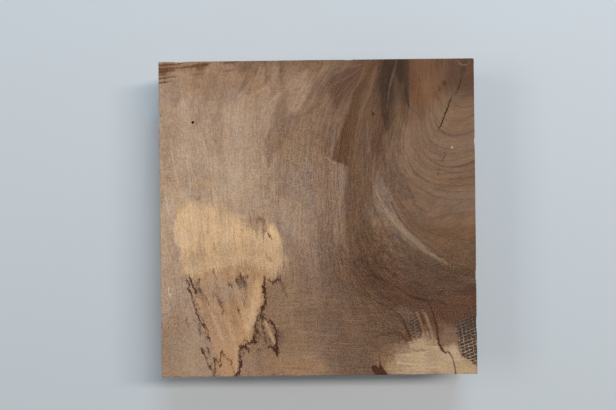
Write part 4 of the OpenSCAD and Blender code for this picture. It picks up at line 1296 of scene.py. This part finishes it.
def streaked(at, colour):
    # streaks of several widths along the grain, mottle that runs no way, and saw lines across the front
    at.deep, even, front = [zone(at, name) for name in ("deep", "even", "front")]
    fibre, fine, middle, wide = [streakNoise(at, name) - 0.5 for name in ("fibre", "fine", "middle", "wide")]
    grit, mottle, lump = [mottleNoise(at.face, name) - 0.5 for name in ("grit", "mottle", "lump")]
    sawWay = at.y * kerfs["across"] + at.x * kerfs["lean"]
    kerf = roughNoise(vector(at.x * kerfs["along"], sawWay, at.inner * kerfs["down"]), 1.0, 2.0, 0.6) - 0.5
    strands = [
        noise * (at.deep * more + plain)
        for noise, (plain, more) in zip((fibre, fine, middle), streakStrength.values())
    ]
    look = woodLook
    factor, power = look["inDark"]
    light = vectorMath("DOT_PRODUCT", colour, look["lightFrom"], out=1)
    depth = light.math("POWER", ride(light, 0.0, 1.0) * factor, power)      # more in dark wood than in pale
    calm = depth.math("MINIMUM", depth, 1.0)
    streak = sum(strands[1:], start=strands[0]) * calm * even * (1.0 - front * look["frontCalm"])
    streak = streak + wide * look["wide"] + kerf * front * look["kerf"]
    speckle = grit * depth * zone(at, "gritty") + (mottle * look["mottle"] + lump * look["lump"]) * calm
    speckle = speckle * (1.0 - at.ringed * look["ringedCalm"])
    change = (streak + speckle) * (1.0 - zone(at, "smooth") * look["smoothCalm"])
    at.mottle = mottle
    fibreShare, gritShare, middleShare = look["reliefOf"]
    at.relief = fibre * fibreShare + grit * gritShare + middle * middleShare
    return vectorMath("SCALE", colour, scale=change.math("MAXIMUM", change, look["darkest"]) + 1.0)


def tinted(at, colour):
    # some streaks and clouds run redder, others greyer
    warmth = (streakNoise(at, "warmth") - 0.5) * woodLook["warmth"]
    cloud = (mottleNoise(at.bent, "cloud") - 0.5) * woodLook["cloud"]
    plain, more = woodLook["tint"]
    tint = warmth * (at.deep * more + plain) + cloud
    cast = [tint * added + level for level, added in woodLook["cast"]]
    return vectorMath("MULTIPLY", colour, vector(*cast))


def newMaterial(name):
    # an empty material, and a wire to start its nodes from
    material = bpy.data.materials.new(name)
    material.use_nodes = True
    material.node_tree.nodes.clear()
    return material, Wire(material.node_tree)


def finishWith(start, inputs):
    shader = start.node("ShaderNodeBsdfPrincipled", {}, inputs)
    start.node("ShaderNodeOutputMaterial", {}, {0: shader})


def woodFinish():
    material, start = newMaterial("sawn_spalted_wood")
    at = woodPlaces(start)
    colour = bandColours(at)
    colour = layMarks(colour, at.combed, combedMarks)
    colour = layMarks(colour, at.frayed, sapMarks)
    for layer in (growthLines, sawLines, spaltLines, streaked, tinted):
        colour = layer(at, colour)
    strength, height = woodLook["reliefStrength"], woodLook["reliefHeight"]
    bump = start.node("ShaderNodeBump", {}, {"Height": at.relief, "Strength": strength, "Distance": height})
    finishWith(start, {
        "Base Color": colour,
        "Roughness": rise(at.mottle, -0.2, 0.2, *woodLook["roughness"]),
        "Normal": bump,
        "Specular IOR Level": woodLook["gloss"],
    })
    return material


# The block, finished

block = makeBlock()
addGrain(block)
block.data.materials.clear()
block.data.materials.append(woodFinish())
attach(block, "root")
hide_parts("blank")
print("block finished")


# Floor, lights and camera

studio = {
    "floorSize": 3.0,
    "floorColour": shade(190, 194, 197),
    "floorRoughness": 0.85,
    "floorGloss": 0.2,
    "lamps": {
        # name: place, width, depth, power, colour; each hangs flat, facing the floor
        "overhead": ((0.65, 0.36, 1.45), 1.10, 0.18, 18.2, (1.0, 0.945, 0.885)),
        "left": ((-0.95, 0.10, 1.10), 0.60, 0.60, 5.8, (1.0, 1.0, 1.0)),
        "back": ((0.15, 0.95, 1.10), 0.50, 0.40, 10.2, (0.56, 0.79, 1.0)),
    },
    "skyColour": (0.93, 0.97, 1.0, 1.0),
    "skyLight": 0.2,
}
lens = {
    "side": (-6.22, 8.32),        # where the camera stands over the block, mm from its middle
    "above": 484.2,               # mm above the top face
    "turn": -0.669,               # degrees
    "focal": 44.0,                # mm
    "sensor": 36.0,               # mm wide
    "nearest": 0.01,              # metres; nothing closer is seen
}


def makeFloor():
    half = studio["floorSize"] / 2 / mm
    corners = [(-half, -half, 0), (half, -half, 0), (half, half, 0), (-half, half, 0)]
    floor = meshFrom("floor", corners, [[0, 1, 2, 3]])
    material, start = newMaterial("pale_paper")
    finishWith(start, {
        "Base Color": studio["floorColour"],
        "Roughness": studio["floorRoughness"],
        "Specular IOR Level": studio["floorGloss"],
    })
    floor.data.materials.append(material)


def makeLamps():
    for name, (place, width, depth, power, colour) in studio["lamps"].items():
        lamp = bpy.data.lights.new(name, "AREA")
        lamp.shape = "RECTANGLE"
        lamp.size, lamp.size_y = width, depth
        lamp.energy = power
        lamp.color = colour
        stand = bpy.data.objects.new(name, lamp)
        scene.collection.objects.link(stand)
        stand.location = place
    world = bpy.data.worlds.new("sky")
    world.use_nodes = True
    sky = world.node_tree.nodes["Background"]
    sky.inputs["Color"].default_value = studio["skyColour"]
    sky.inputs["Strength"].default_value = studio["skyLight"]
    scene.world = world


def makeCamera():
    camera = bpy.data.cameras.new("camera")
    camera.sensor_width = lens["sensor"]
    camera.lens = lens["focal"]
    camera.clip_start = lens["nearest"]
    stand = bpy.data.objects.new("camera", camera)
    scene.collection.objects.link(stand)
    stand.location = (lens["side"][0] * mm, lens["side"][1] * mm, (thick + lens["above"]) * mm)
    stand.rotation_euler = (0, 0, math.radians(lens["turn"]))
    scene.camera = stand


makeFloor()
makeLamps()
makeCamera()
scene.view_settings.view_transform = "Standard"
print("studio ready")
